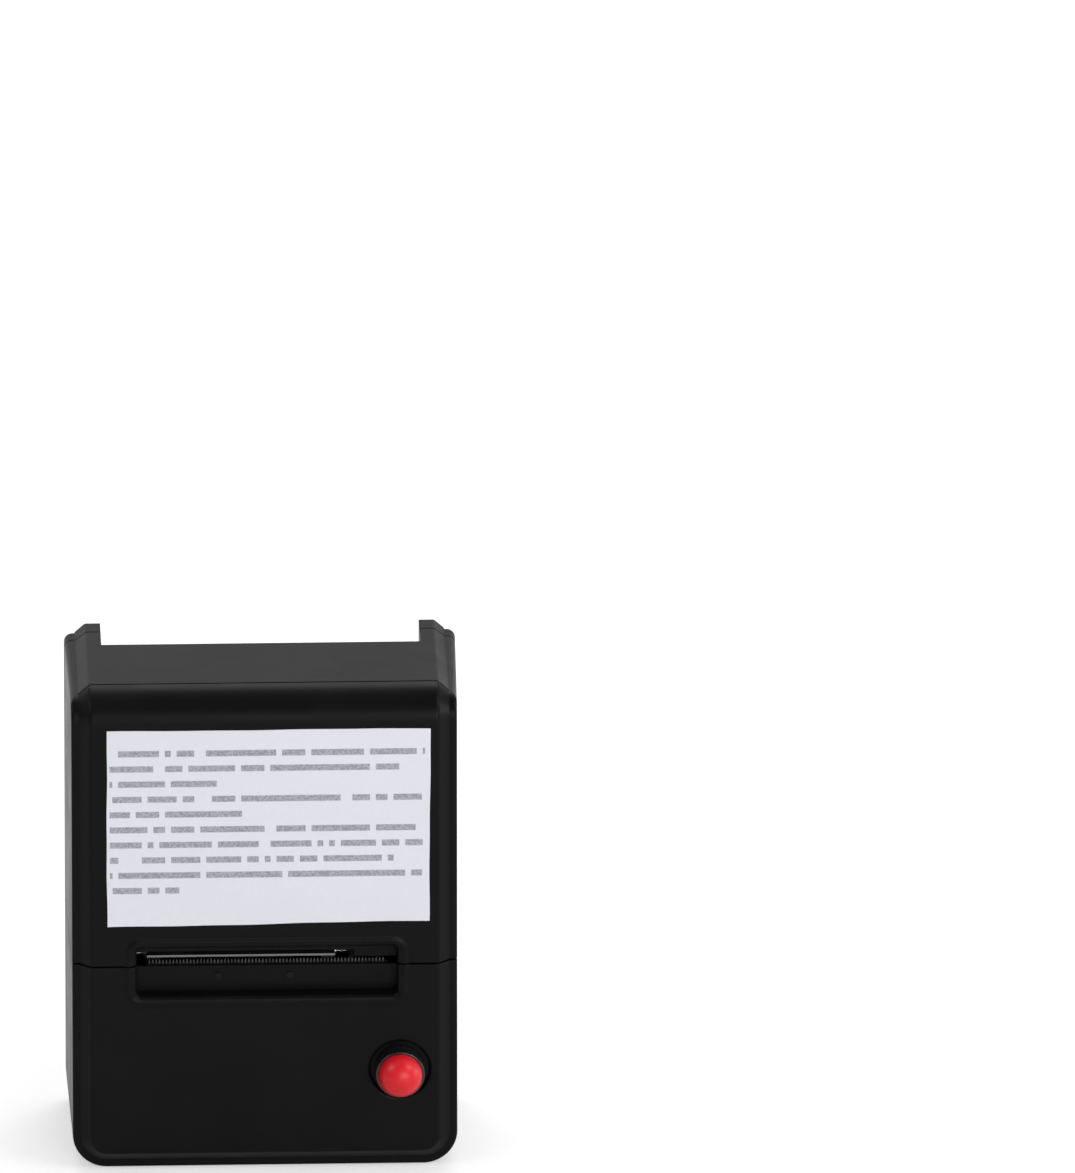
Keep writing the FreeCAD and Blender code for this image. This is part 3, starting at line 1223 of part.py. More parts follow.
def make_chassis():
    """Inner moulding: back plate, roll bucket with cheeks, and the two hinge posts."""
    x0 = PAPER_X0 - CHEEK_GAP - CHEEK_T
    x1 = PAPER_X1 + CHEEK_GAP + CHEEK_T
    inner_r = ROLL_R + BUCKET_GAP
    outer_r = inner_r + BUCKET_T
    plate = box(-POST_OUT, POST_OUT, CHASSIS_Y, CHASSIS_BACK_Y, CHASSIS_Z0, CHASSIS_Z1)
    trough = tube_x(x0, x1, ROLL_Y, ROLL_Z, outer_r, inner_r)
    parts = [plate, trough.common(prism_x(bucket_wedge(outer_r), x0, x1))]
    for x in (x0, x1 - CHEEK_T):
        cheek = rod_x(x, x + CHEEK_T, ROLL_Y, ROLL_Z, outer_r)
        parts.append(cheek.common(prism_x(bucket_wedge(outer_r), x, x + CHEEK_T)))
        parts.append(box(x, x + CHEEK_T, ROLL_Y + inner_r / 2, CHASSIS_BACK_Y,
                         ROLL_Z - CHEEK_WEB_H, ROLL_Z))
    for side in (-1, 1):
        a, b = sorted((side * POST_IN, side * POST_OUT))
        post = [(HINGE_Y - POST_R, CHASSIS_Z1 - POST_RISE), (HINGE_Y - POST_R, HINGE_Z),
                (HINGE_Y + POST_R, HINGE_Z), (HINGE_Y + POST_R, CHASSIS_Z1 + POST_STEP),
                (CHASSIS_Y, CHASSIS_Z1 - POST_STEP), (CHASSIS_Y, CHASSIS_Z1 - POST_SPLAY)]
        parts.append(prism_x(post, a, b))
        parts.append(rod_x(a, b, HINGE_Y, HINGE_Z, POST_R))
    chassis = join(parts)
    chassis = chassis.cut(rod_x(-POST_OUT - OVER, POST_OUT + OVER, HINGE_Y, HINGE_Z, PIN_R))
    for x, z in chassis_screw_places():
        chassis = chassis.cut(rod_y(CHASSIS_Y - OVER, CHASSIS_BACK_Y + OVER, x, z,
                                    SCREW_R + SCREW_CLEAR))
        chassis = chassis.cut(rod_y(HINGE_Y - POST_R - OVER, CHASSIS_Y, x, z,
                                    SCREW_HEAD_R + SCREW_CLEAR))
    return largest(chassis)


def make_chassis_screws():
    return group([screw_y(CHASSIS_Y, x, z, CHASSIS_T + CHASSIS_SCREW_BITE, 1)
                  for x, z in chassis_screw_places()])


def make_hinge_pins():
    inner = BAY_HALF_W + PIN_END_GAP
    outer = LID_SIDE_IN + PIN_IN_WALL - PIN_END_GAP
    pins = []
    for side in (-1, 1):
        a, b = sorted((side * inner, side * outer))
        pins.append(rod_x(a, b, HINGE_Y, HINGE_Z, PIN_R))
    return group(pins)


def make_board():
    board = box(-BOARD_HALF_W, BOARD_HALF_W, BOARD_Y0, BOARD_Y1, BOARD_Z0, BOARD_Z1)
    for x, z in board_screw_places():
        board = board.cut(rod_y(BOARD_Y0 - OVER, BOARD_Y1 + OVER, x, z, SCREW_R + SCREW_CLEAR))
    return board


def make_board_screws():
    length = BOARD_T + BOARD_STANDOFF + BOARD_SCREW_BITE
    return group([screw_y(BOARD_Y0, x, z, length, 1) for x, z in board_screw_places()])


def make_board_chips():
    chips = []
    for x, rise, w, h in CHIPS:
        z = BOARD_Z0 + rise
        chips.append(box(x - w / 2, x + w / 2, BOARD_Y0 - CHIP_T, BOARD_Y0, z - h / 2, z + h / 2))
    return group(chips)


def make_capacitors():
    z = BOARD_Z0 + CAP_CAN_RISE
    return group([rod_y(BOARD_Y0 - CAP_CAN_L, BOARD_Y0, x - BOARD_HALF_W, z, CAP_CAN_R)
                  for x in CAP_CAN_IN])


def header(x, w, z0, h):
    return box(x - w / 2, x + w / 2, BOARD_Y0 - HEADER_D, BOARD_Y0, z0, z0 + h)


def make_board_connectors():
    """White headers for the button, the motor and the head, the last with its ribbon's slot."""
    slot_mid = RIBBON_Z - RIBBON_T / 2
    head = header(PAPER_X, HEADER_HEAD_W, slot_mid - HEADER_HEAD_H / 2, HEADER_HEAD_H)
    half = HEADER_HEAD_W / 2 - HEADER_SLOT_SIDE
    head = head.cut(box(PAPER_X - half, PAPER_X + half, BOARD_Y0 - HEADER_D - OVER,
                        BOARD_Y0 - HEAD_PLUG_REACH + HEADER_SLOT_END,
                        slot_mid - HEADER_SLOT_H / 2, slot_mid + HEADER_SLOT_H / 2))
    return group([header(BTN_X - HEADER_BTN_SHIFT, HEADER_BTN_W, HEADER_Z0, HEADER_H),
                  header(HEADER_MOTOR_X, HEADER_MOTOR_W, HEADER_Z0, HEADER_H), head])


def port_shape(x, w, d, h, clear):
    """A port's block under the bay's floor, or with a clearance the hole that it comes through."""
    top = BAY_Z + (OVER if clear else 0)
    return box(x - w / 2 - clear, x + w / 2 + clear, BOARD_Y0 - d - clear, BOARD_Y0, BAY_Z - h,
               top)


def make_dc_jack():
    y = BOARD_Y0 - JACK_D / 2
    low = BAY_Z - JACK_BORE_L
    jack = port_shape(JACK_X, JACK_W, JACK_D, JACK_H, 0)
    jack = jack.cut(rod_z(low, BAY_Z + OVER, JACK_X, y, JACK_BORE_R))
    return jack.fuse(rod_z(low, BAY_Z - PORT_PIN_DROP, JACK_X, y, JACK_PIN_R))


def make_usb_socket():
    """Square data socket: a shell round an opening with two cut corners, and a tongue."""
    y = BOARD_Y0 - USB_D / 2
    low = BAY_Z - USB_HOLE_L
    w, d = USB_HOLE_W, USB_HOLE_D
    hole = [(-w / 2, -d / 2), (w / 2, -d / 2), (w / 2, d / 4), (w / 4, d / 2), (-w / 4, d / 2),
            (-w / 2, d / 4)]
    corners = [Vector(USB_X + dx, y + dy, low) for dx, dy in hole]
    face = Part.Face(Part.makePolygon(corners + corners[:1]))
    socket = port_shape(USB_X, USB_W, USB_D, USB_H, 0)
    socket = socket.cut(face.extrude(Vector(0, 0, USB_HOLE_L + OVER)))
    tongue = box(USB_X - USB_TONGUE_W / 2, USB_X + USB_TONGUE_W / 2, y - USB_TONGUE_D / 2,
                 y + USB_TONGUE_D / 2, low, BAY_Z - PORT_PIN_DROP)
    return socket.fuse(tongue)


def make_button_collar():
    """Front cup and hollow barrel of the push-button."""
    cup = rod_y(COLLAR_Y, SEAT_Y, BTN_X, BTN_Z, COLLAR_R)
    cup = cup.makeFillet(COLLAR_EDGE_R, [e for e in cup.Edges if e.Closed
                                         and e.Vertexes[0].Point.y < COLLAR_Y + FLAT_TOL])
    body = cup.fuse(rod_y(SEAT_Y, BARREL_Y, BTN_X, BTN_Z, BARREL_R))
    body = body.cut(rod_y(COLLAR_Y - OVER, CUP_Y, BTN_X, BTN_Z, CAP_R + CAP_CLEAR))
    bore = rod_y(COLLAR_Y - OVER, BARREL_Y + OVER, BTN_X, BTN_Z, STEM_R + STEM_BORE_CLEAR)
    return body.cut(bore).removeSplitter()


def make_button_seal():
    return tube_y(SEAT_Y, DISH_Y, BTN_X, BTN_Z, COLLAR_R - SEAL_IN, BARREL_R + SEAL_CLEAR)


def make_button_nut():
    """Hexagon nut on the barrel, against the back of the panel."""
    r = NUT_AF / 2 / math.cos(math.pi / 6)
    points = []
    for i in range(6):
        a = i * math.pi / 3
        points.append((BTN_X + r * math.cos(a), BTN_Z + r * math.sin(a)))
    nut = prism_y(points, DISH_BACK_Y, DISH_BACK_Y + NUT_T)
    return nut.cut(rod_y(DISH_BACK_Y - OVER, DISH_BACK_Y + NUT_T + OVER, BTN_X, BTN_Z, BARREL_R))


def make_button_cap():
    """Red dome: a short skirt inside the collar and half an ellipsoid in front of it."""
    land_y = COLLAR_Y - CAP_LAND
    a = Vector(BTN_X, CAP_Y, BTN_Z)
    b = Vector(BTN_X + CAP_R, CAP_Y, BTN_Z)
    c = Vector(BTN_X + CAP_R, land_y, BTN_Z)
    d = Vector(BTN_X, land_y - CAP_DOME, BTN_Z)
    points = []
    steps = 24
    for i in range(steps + 1):
        t = math.pi / 2 * i / steps
        points.append(Vector(BTN_X + CAP_R * math.cos(t), land_y - CAP_DOME * math.sin(t), BTN_Z))
    dome = Part.BSplineCurve()
    dome.interpolate(points)
    edges = [Part.makeLine(a, b), Part.makeLine(b, c), dome.toShape(), Part.makeLine(d, a)]
    cap = Part.Face(Part.Wire(edges)).revolve(a, Vector(0, 1, 0), 360)
    return cap.cut(tube_y(CAP_Y - CAP_POCKET, CAP_Y + OVER, BTN_X, BTN_Z,
                          BTN_SPRING_R + CAP_POCKET_SIDE, STEM_R + CAP_POCKET_WALL))


def clip_ring(outer_r):
    """Ring in the stem's groove, just behind the barrel."""
    y0 = BARREL_Y + CLIP_GAP
    return tube_y(y0, y0 + CLIP_T, BTN_X, BTN_Z, outer_r, STEM_R - CLIP_GROOVE)


def make_button_stem():
    """Guide stem behind the cap, with a groove for its clip."""
    stem = rod_y(CAP_Y, BARREL_Y + STEM_OUT, BTN_X, BTN_Z, STEM_R)
    return stem.cut(clip_ring(STEM_R + OVER))


def make_button_clip():
    half = CLIP_MOUTH_W / 2
    mouth = box(BTN_X - half, BTN_X + half, BARREL_Y, BARREL_Y + STEM_OUT,
                BTN_Z - STEM_R - CLIP_H - OVER, BTN_Z)
    return clip_ring(STEM_R + CLIP_H).cut(mouth)


def make_button_spring():
    return coil_y(CAP_Y - CAP_POCKET, CUP_Y, BTN_X, BTN_Z, BTN_SPRING_R)


def make_switch_block():
    """Contact block clipped round the end of the barrel, hollow where the stem comes in."""
    half = SWITCH_W / 2
    y0 = BARREL_Y - SWITCH_GRIP
    block = box(BTN_X - half, BTN_X + half, y0, TERMINAL_Y, BTN_Z - half, BTN_Z + half)
    block = block.cut(rod_y(y0 - OVER, BARREL_Y, BTN_X, BTN_Z, BARREL_R))
    return block.cut(rod_y(BARREL_Y - OVER, BARREL_Y + STEM_OUT + BTN_TRAVEL + SWITCH_ROOM, BTN_X,
                           BTN_Z, STEM_R + SWITCH_BORE_SIDE))


def make_switch_terminals():
    half_t = TERMINAL_T / 2
    half_w = TERMINAL_W / 2
    blades = []
    for x in (BTN_X - TERMINAL_DX, BTN_X + TERMINAL_DX):
        blades.append(box(x - half_t, x + half_t, TERMINAL_Y, TERMINAL_Y + TERMINAL_L,
                          BTN_Z - half_w, BTN_Z + half_w))
    return group(blades)


def make_button_leads():
    """Two leads from the terminals straight back, round one bend and up to the header."""
    y0 = TERMINAL_Y + TERMINAL_L
    y_up = BOARD_Y0 - LEAD_TO_BOARD
    k = LEAD_BEND * math.sqrt(0.5)
    leads = []
    for x in (BTN_X - TERMINAL_DX, BTN_X + TERMINAL_DX):
        a = Vector(x, y0, BTN_Z)
        b = Vector(x, y_up - LEAD_BEND, BTN_Z)
        mid = Vector(x, y_up - LEAD_BEND + k, BTN_Z + LEAD_BEND - k)
        c = Vector(x, y_up, BTN_Z + LEAD_BEND)
        d = Vector(x, y_up, HEADER_Z0)
        path = Part.Wire([Part.makeLine(a, b), arc_edge(b, mid, c), Part.makeLine(c, d)])
        profile = Part.Wire([Part.makeCircle(LEAD_R, a, Vector(0, 1, 0))])
        leads.append(path.makePipeShell([profile], True, False))
    return group(leads)


def make_case_screws():
    length = CASE_SCREW_SEAT_Y - PART_Y + CASE_SCREW_BITE
    return group([screw_y(CASE_SCREW_SEAT_Y, x, z, length, -1) for x, z in case_screw_places()])


def make_feet():
    return group([rod_y(FOOT_Y, FOOT_Y + FOOT_T, x, z, FOOT_R) for x, z in foot_places()])


def main():
    os.makedirs("parts", exist_ok=True)
    skin = case_skin()
    nodes = {
        "lid_shell": make_lid(skin),
        "lower_shell": make_lower_shell(skin),
        "rear_shell": make_rear_shell(skin),
        "label": make_label(),
        "tear_bar": make_tear_bar(),
        "tear_bar_rivets": make_rivets(),
        "paper_guide": make_guide(),
        "platen_roller": make_platen_roller(),
        "platen_shaft": make_platen_shaft(),
        "platen_bushes": make_platen_bushes(),
        "platen_bracket": make_platen_bracket(),
        "bracket_screws": make_bracket_screws(),
        "platen_gear": make_platen_gear(),
        "idler_gear": make_idler_gear(),
        "idler_axle": make_idler_axle(),
        "motor_pinion": make_motor_pinion(),
        "motor": make_motor(),
        "motor_screws": make_motor_screws(),
        "mechanism_frame": make_mechanism_frame(),
        "mechanism_screws": make_mechanism_screws(),
        "head_rod": make_head_rod(),
        "head_sink": make_head_sink(),
        "head_ceramic": make_head_ceramic(),
        "head_springs": make_head_springs(),
        "paper_sensor": make_paper_sensor(),
        "head_ribbon": make_head_ribbon(),
        "paper_roll": make_paper_roll(),
        "paper_core": make_paper_core(),
        "chassis": make_chassis(),
        "chassis_screws": make_chassis_screws(),
        "hinge_pins": make_hinge_pins(),
        "main_board": make_board(),
        "board_screws": make_board_screws(),
        "board_chips": make_board_chips(),
        "capacitors": make_capacitors(),
        "board_connectors": make_board_connectors(),
        "dc_jack": make_dc_jack(),
        "usb_socket": make_usb_socket(),
        "button_collar": make_button_collar(),
        "button_seal": make_button_seal(),
        "button_nut": make_button_nut(),
        "button_cap": make_button_cap(),
        "button_stem": make_button_stem(),
        "button_clip": make_button_clip(),
        "button_spring": make_button_spring(),
        "switch_block": make_switch_block(),
        "switch_terminals": make_switch_terminals(),
        "button_leads": make_button_leads(),
        "case_screws": make_case_screws(),
        "feet": make_feet(),
    }
    for name, shape in nodes.items():
        shape.exportStep("parts/" + name + ".step")
        box_ = shape.BoundBox
        print(name, len(shape.Solids), shape.isValid(), round(shape.Volume, 1),
              [round(v, 2) for v in (box_.XMin, box_.XMax, box_.YMin, box_.YMax, box_.ZMin,
                                     box_.ZMax)])


main()
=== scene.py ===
import json
import math

import bpy
import numpy as np
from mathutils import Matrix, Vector


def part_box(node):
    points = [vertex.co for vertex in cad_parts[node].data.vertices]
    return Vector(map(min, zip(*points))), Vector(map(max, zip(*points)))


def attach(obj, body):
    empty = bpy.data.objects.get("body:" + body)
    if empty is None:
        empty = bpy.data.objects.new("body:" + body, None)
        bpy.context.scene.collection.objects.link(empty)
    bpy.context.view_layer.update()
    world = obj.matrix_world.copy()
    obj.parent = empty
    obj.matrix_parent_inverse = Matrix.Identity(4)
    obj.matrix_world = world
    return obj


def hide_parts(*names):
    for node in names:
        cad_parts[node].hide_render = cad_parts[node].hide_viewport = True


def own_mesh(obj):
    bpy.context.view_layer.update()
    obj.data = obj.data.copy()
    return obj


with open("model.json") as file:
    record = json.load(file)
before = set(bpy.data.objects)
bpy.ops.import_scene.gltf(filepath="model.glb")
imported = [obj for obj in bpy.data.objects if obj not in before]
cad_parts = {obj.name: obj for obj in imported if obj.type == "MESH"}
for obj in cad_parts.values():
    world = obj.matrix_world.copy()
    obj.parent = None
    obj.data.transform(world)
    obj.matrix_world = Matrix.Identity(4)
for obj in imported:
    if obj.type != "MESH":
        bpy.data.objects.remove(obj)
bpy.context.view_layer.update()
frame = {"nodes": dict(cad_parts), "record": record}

MM = 0.001                              # m


# ---------------------------------------------------------------- small tools

def linear(code):
    """An sRGB hex colour as linear red, green, blue and alpha."""
    parts = [int(code[i:i + 2], 16) / 255 for i in (0, 2, 4)]
    return [p / 12.92 if p <= 0.04045 else ((p + 0.055) / 1.055) ** 2.4 for p in parts] + [1.0]


def cells(width_mm):
    """The Scale of a pattern whose cells are that many millimetres wide."""
    return 1 / (width_mm * MM)


def feed(tree, node, feeds):
    """Gives a node's inputs, by name or number, a value or the output that each is linked from."""
    for key, value in feeds.items():
        if isinstance(value, bpy.types.NodeSocket):
            tree.links.new(value, node.inputs[key])
        else:
            node.inputs[key].default_value = value


def put(tree, kind, feeds=None, **settings):
    """Adds a node. settings are its own settings, and feeds go to its inputs."""
    made = tree.nodes.new(kind)
    for key, value in settings.items():
        setattr(made, key, value)
    feed(tree, made, feeds or {})
    return made


def bare(name, **shader):
    """A new material with its Principled shader's plain values set, and its Object coordinates."""
    made = bpy.data.materials.new(name)
    made.use_nodes = True
    tree = made.node_tree
    skin = tree.nodes["Principled BSDF"]
    for key, value in shader.items():
        skin.inputs[key.replace("_", " ")].default_value = value
    coords = put(tree, "ShaderNodeTexCoord").outputs["Object"]
    return made, tree, skin, coords


NOISE_LOW, NOISE_HIGH = 0.3, 0.7        # between these lie nearly all values of one noise
PAIR_LOW, PAIR_HIGH = 0.6, 1.4          # and of two noises added


def mottled(name, dark, light, grain_mm, rough, bump_mm=0.0, stretch=(1, 1, 1), cloud_mm=18.0,
            **shader):
    """A material whose colour drifts between dark and light in clouds of cloud_mm, and whose gloss
    and height vary with a grain of grain_mm, drawn out along the axes by stretch."""
    made, tree, skin, coords = bare(name, **shader)
    placed = put(tree, "ShaderNodeMapping", {"Vector": coords, "Scale": stretch})
    cloud = put(tree, "ShaderNodeTexNoise", {"Vector": coords, "Scale": cells(cloud_mm),
                                             "Detail": 3.0, "Roughness": 0.55})
    grain = put(tree, "ShaderNodeTexNoise", {"Vector": placed.outputs[0],
                                             "Scale": cells(grain_mm), "Detail": 2.0})
    both = put(tree, "ShaderNodeMath", {0: cloud.outputs["Fac"], 1: grain.outputs["Fac"]},
               operation="ADD")
    share = put(tree, "ShaderNodeMapRange", {"Value": both.outputs[0], "From Min": PAIR_LOW,
                                             "From Max": PAIR_HIGH})
    colour = put(tree, "ShaderNodeMix", {0: share.outputs[0], 6: linear(dark), 7: linear(light)},
                 data_type="RGBA")
    gloss = put(tree, "ShaderNodeMapRange", {"Value": share.outputs[0], "To Min": rough[0],
                                             "To Max": rough[1]})
    feed(tree, skin, {"Base Color": colour.outputs[2], "Roughness": gloss.outputs[0]})
    if bump_mm:
        relief = put(tree, "ShaderNodeBump", {"Height": grain.outputs["Fac"], "Strength": 1.0,
                                              "Distance": bump_mm * MM})
        feed(tree, skin, {"Normal": relief.outputs[0]})
    return made


def woven(points, closed=False):
    """The points of a grid as one list, and its four-sided faces; closed joins each row's end to
    its start."""
    rows, cols = points.shape[:2]
    ids = np.arange(rows * cols).reshape(rows, cols)
    ids = np.concatenate([ids, ids[:, :1]], axis=1) if closed else ids
    quads = np.stack([ids[:-1, :-1], ids[1:, :-1], ids[1:, 1:], ids[:-1, 1:]], axis=-1)
    return points.reshape(-1, 3), quads.reshape(-1, 4)


def piece(name, points, faces, material, body, smooth=True):
    """A new object from points in millimetres and faces, with its finish, riding on its body."""
    mesh = bpy.data.meshes.new(name)
    mesh.from_pydata((points * MM).tolist(), [], faces)
    mesh.polygons.foreach_set("use_smooth", [smooth] * len(mesh.polygons))
    mesh.materials.append(material)
    made = bpy.data.objects.new(name, mesh)
    bpy.context.scene.collection.objects.link(made)
    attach(made, body)
    return made


# ---------------------------------------------------------------- finishes

def moulded_abs():
    """Black ABS from a spark-eroded mould: a fine even grain under a satin gloss that is a little
    smoother in some places than in others, in slow smears as if it had been wiped."""
    made, tree, skin, coords = bare("ABS_black_satin_moulded", Specular_IOR_Level=0.075)
    spark = put(tree, "ShaderNodeTexNoise", {"Vector": coords, "Scale": cells(0.35),
                                             "Detail": 1.0})
    smear = put(tree, "ShaderNodeTexNoise", {"Vector": coords, "Scale": cells(26),
                                             "Detail": 4.0, "Roughness": 0.6, "Distortion": 0.4})
    gloss = put(tree, "ShaderNodeMapRange", {"Value": smear.outputs["Fac"],
                                             "From Min": NOISE_LOW, "From Max": NOISE_HIGH,
                                             "To Min": 0.32, "To Max": 0.42})
    tone = put(tree, "ShaderNodeMix", {0: smear.outputs["Fac"], 6: linear("070708"),
                                       7: linear("0e0e10")}, data_type="RGBA")
    relief = put(tree, "ShaderNodeBump", {"Height": spark.outputs["Fac"], "Strength": 0.6,
                                          "Distance": 0.012 * MM})
    feed(tree, skin, {"Base Color": tone.outputs[2], "Roughness": gloss.outputs[0],
                      "Normal": relief.outputs[0]})
    return made


BARS_TOP, BARS_LOW = 133.1, 85.6        # mm, heights between which the label's rows of bars lie
BARS_LEFT, BARS_RIGHT = -45.0, 46.6     # mm, and their sides
BAR_ROWS = 10
ROW_ENDS = (1.0, 0.93, 0.34, 0.99, 0.42, 0.97, 1.0, 0.90, 0.99, 0.22)    # shares of the width
BAR_HALF, BAR_FADE = 0.85, 1.05         # mm from a row's middle: full tone ends, all tone ends
BAR_STEP, BLANK_SHARE = 1.7, 0.16       # mm, width of one step, and the share of blank steps


def printed_paper():
    """White laser-printed paper sticker: matt and faintly cloudy from its fibres, with rows of
    plain grey bars of word length in place of any lettering."""
    made, tree, skin, coords = bare("Paper_white_laser_printed", Roughness=0.82,
                                    Specular_IOR_Level=0.25)
    axes = put(tree, "ShaderNodeSeparateXYZ", {0: coords}).outputs
    fibre = put(tree, "ShaderNodeTexNoise", {"Vector": coords, "Scale": cells(1.2),
                                             "Detail": 4.0})
    cloud = put(tree, "ShaderNodeTexNoise", {"Vector": coords, "Scale": cells(30)})
    mixed = put(tree, "ShaderNodeMath", {0: fibre.outputs["Fac"], 1: cloud.outputs["Fac"]},
                operation="MULTIPLY")
    paper = put(tree, "ShaderNodeMix", {0: mixed.outputs[0], 6: linear("d3d4db"),
                                        7: linear("dedfe5")}, data_type="RGBA")
    pitch = (BARS_TOP - BARS_LOW) / BAR_ROWS
    down = put(tree, "ShaderNodeMapRange", {"Value": axes["Z"], "From Min": BARS_TOP * MM,
                                            "From Max": BARS_LOW * MM, "To Min": 0.0,
                                            "To Max": float(BAR_ROWS)}, clamp=False)
    row = put(tree, "ShaderNodeMath", {0: down.outputs[0]}, operation="FLOOR")
    within = put(tree, "ShaderNodeMath", {0: down.outputs[0]}, operation="FRACT")
    off = put(tree, "ShaderNodeMath", {0: within.outputs[0], 1: 0.5}, operation="SUBTRACT")
    dist = put(tree, "ShaderNodeMath", {0: off.outputs[0]}, operation="ABSOLUTE")
    band = put(tree, "ShaderNodeMapRange", {"Value": dist.outputs[0],
                                            "From Min": BAR_HALF / pitch,
                                            "From Max": BAR_FADE / pitch, "To Min": 1.0,
                                            "To Max": 0.0})
    along = put(tree, "ShaderNodeMapRange", {"Value": axes["X"], "From Min": BARS_LEFT * MM,
                                             "From Max": BARS_RIGHT * MM}, clamp=False)
    place = put(tree, "ShaderNodeMath", {0: row.outputs[0], 1: 0.5}, operation="ADD")
    share = put(tree, "ShaderNodeMath", {0: place.outputs[0], 1: float(BAR_ROWS)},
                operation="DIVIDE")
    ends = put(tree, "ShaderNodeValToRGB", {0: share.outputs[0]})
    ends.color_ramp.interpolation = "CONSTANT"
    stops = ends.color_ramp.elements
    while len(stops) < BAR_ROWS:
        stops.new(1.0)
    for i, end in enumerate(ROW_ENDS):
        stops[i].position = i / BAR_ROWS
        stops[i].color = (end, end, end, 1)
    short = put(tree, "ShaderNodeMath", {0: along.outputs[0], 1: ends.outputs[0]},
                operation="LESS_THAN")
    begun = put(tree, "ShaderNodeMath", {0: along.outputs[0], 1: 0.0}, operation="GREATER_THAN")
    top = put(tree, "ShaderNodeMath", {0: down.outputs[0], 1: 0.0}, operation="GREATER_THAN")
    foot = put(tree, "ShaderNodeMath", {0: down.outputs[0], 1: float(BAR_ROWS)},
               operation="LESS_THAN")
    step = put(tree, "ShaderNodeMath", {0: axes["X"], 1: BAR_STEP * MM}, operation="DIVIDE")
    cell = put(tree, "ShaderNodeMath", {0: step.outputs[0]}, operation="FLOOR")
    key = put(tree, "ShaderNodeCombineXYZ", {"X": cell.outputs[0], "Y": row.outputs[0]})
    word = put(tree, "ShaderNodeTexWhiteNoise", {"Vector": key.outputs[0]},
               noise_dimensions="2D")
    inked = put(tree, "ShaderNodeMath", {0: word.outputs["Value"], 1: BLANK_SHARE},
                operation="GREATER_THAN")
    speck = put(tree, "ShaderNodeTexNoise", {"Vector": coords, "Scale": cells(0.5),
                                             "Detail": 1.0})
    toner = put(tree, "ShaderNodeMapRange", {"Value": speck.outputs["Fac"], "From Min": 0.35,
                                             "From Max": 0.65, "To Min": 0.55, "To Max": 0.85})
    ink = band.outputs[0]
    for gate in (short, begun, top, foot, inked, toner):
        ink = put(tree, "ShaderNodeMath", {0: ink, 1: gate.outputs[0]},
                  operation="MULTIPLY").outputs[0]
    colour = put(tree, "ShaderNodeMix", {0: ink, 6: paper.outputs[2], 7: linear("77777e")},
                 data_type="RGBA")
    relief = put(tree, "ShaderNodeBump", {"Height": fibre.outputs["Fac"], "Distance": 0.015 * MM})
    feed(tree, skin, {"Base Color": colour.outputs[2], "Normal": relief.outputs[0]})
    return made


RING_PITCH = 0.5                        # mm, the roll's rings as they are drawn


def wound_paper():
    """Thermal paper wound into a roll: smooth on the outside, and fine rings where the layers'
    edges show on the ends. The rings are coarser than the paper's 0.06 mm, so that they show."""
    made, tree, skin, coords = bare("Paper_thermal_wound", Roughness=0.6)
    lo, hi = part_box("paper_roll")
    mid = (lo + hi) / 2
    placed = put(tree, "ShaderNodeMapping", {"Vector": coords, "Location": (0, -mid.y, -mid.z)})
    axes = put(tree, "ShaderNodeSeparateXYZ", {0: placed.outputs[0]}).outputs
    flat = put(tree, "ShaderNodeCombineXYZ", {"Y": axes["Y"], "Z": axes["Z"]})
    far = put(tree, "ShaderNodeVectorMath", {0: flat.outputs[0]}, operation="LENGTH")
    turns = put(tree, "ShaderNodeMath", {0: far.outputs["Value"],
                                         1: 2 * math.pi / (RING_PITCH * MM)},
                operation="MULTIPLY")
    wave = put(tree, "ShaderNodeMath", {0: turns.outputs[0]}, operation="SINE")
    share = put(tree, "ShaderNodeMapRange", {"Value": wave.outputs[0], "From Min": -1.0})
    drift = put(tree, "ShaderNodeTexNoise", {"Vector": coords, "Scale": cells(9)})
    blend = put(tree, "ShaderNodeMath", {0: share.outputs[0], 1: drift.outputs["Fac"]},
                operation="MULTIPLY")
    colour = put(tree, "ShaderNodeMix", {0: blend.outputs[0], 6: linear("ecebe8"),
                                         7: linear("cfcdc8")}, data_type="RGBA")
    relief = put(tree, "ShaderNodeBump", {"Height": share.outputs[0], "Distance": 0.02 * MM})
    feed(tree, skin, {"Base Color": colour.outputs[2], "Normal": relief.outputs[0]})
    return made


def glossy_red():
    """Red polycarbonate, polished in the mould and rubbed by thumbs since: an even red with soft
    highlights, duller in some places than in others."""
    made, tree, skin, coords = bare("Polycarbonate_red_polished", Specular_IOR_Level=0.3)
    worn = put(tree, "ShaderNodeTexNoise", {"Vector": coords, "Scale": cells(5), "Detail": 3.0})
    gloss = put(tree, "ShaderNodeMapRange", {"Value": worn.outputs["Fac"],
                                             "From Min": NOISE_LOW, "From Max": NOISE_HIGH,
                                             "To Min": 0.31, "To Max": 0.38})
    tone = put(tree, "ShaderNodeMix", {0: worn.outputs["Fac"], 6: linear("c4161e"),
                                       7: linear("d01b24")}, data_type="RGBA")
    feed(tree, skin, {"Base Color": tone.outputs[2], "Roughness": gloss.outputs[0]})
    return made


TOOTH_PITCH = 1.0                       # mm
GROUND_FULL, GROUND_NONE = 1.0, 2.0     # mm below the bar's top, where the ground tone fades


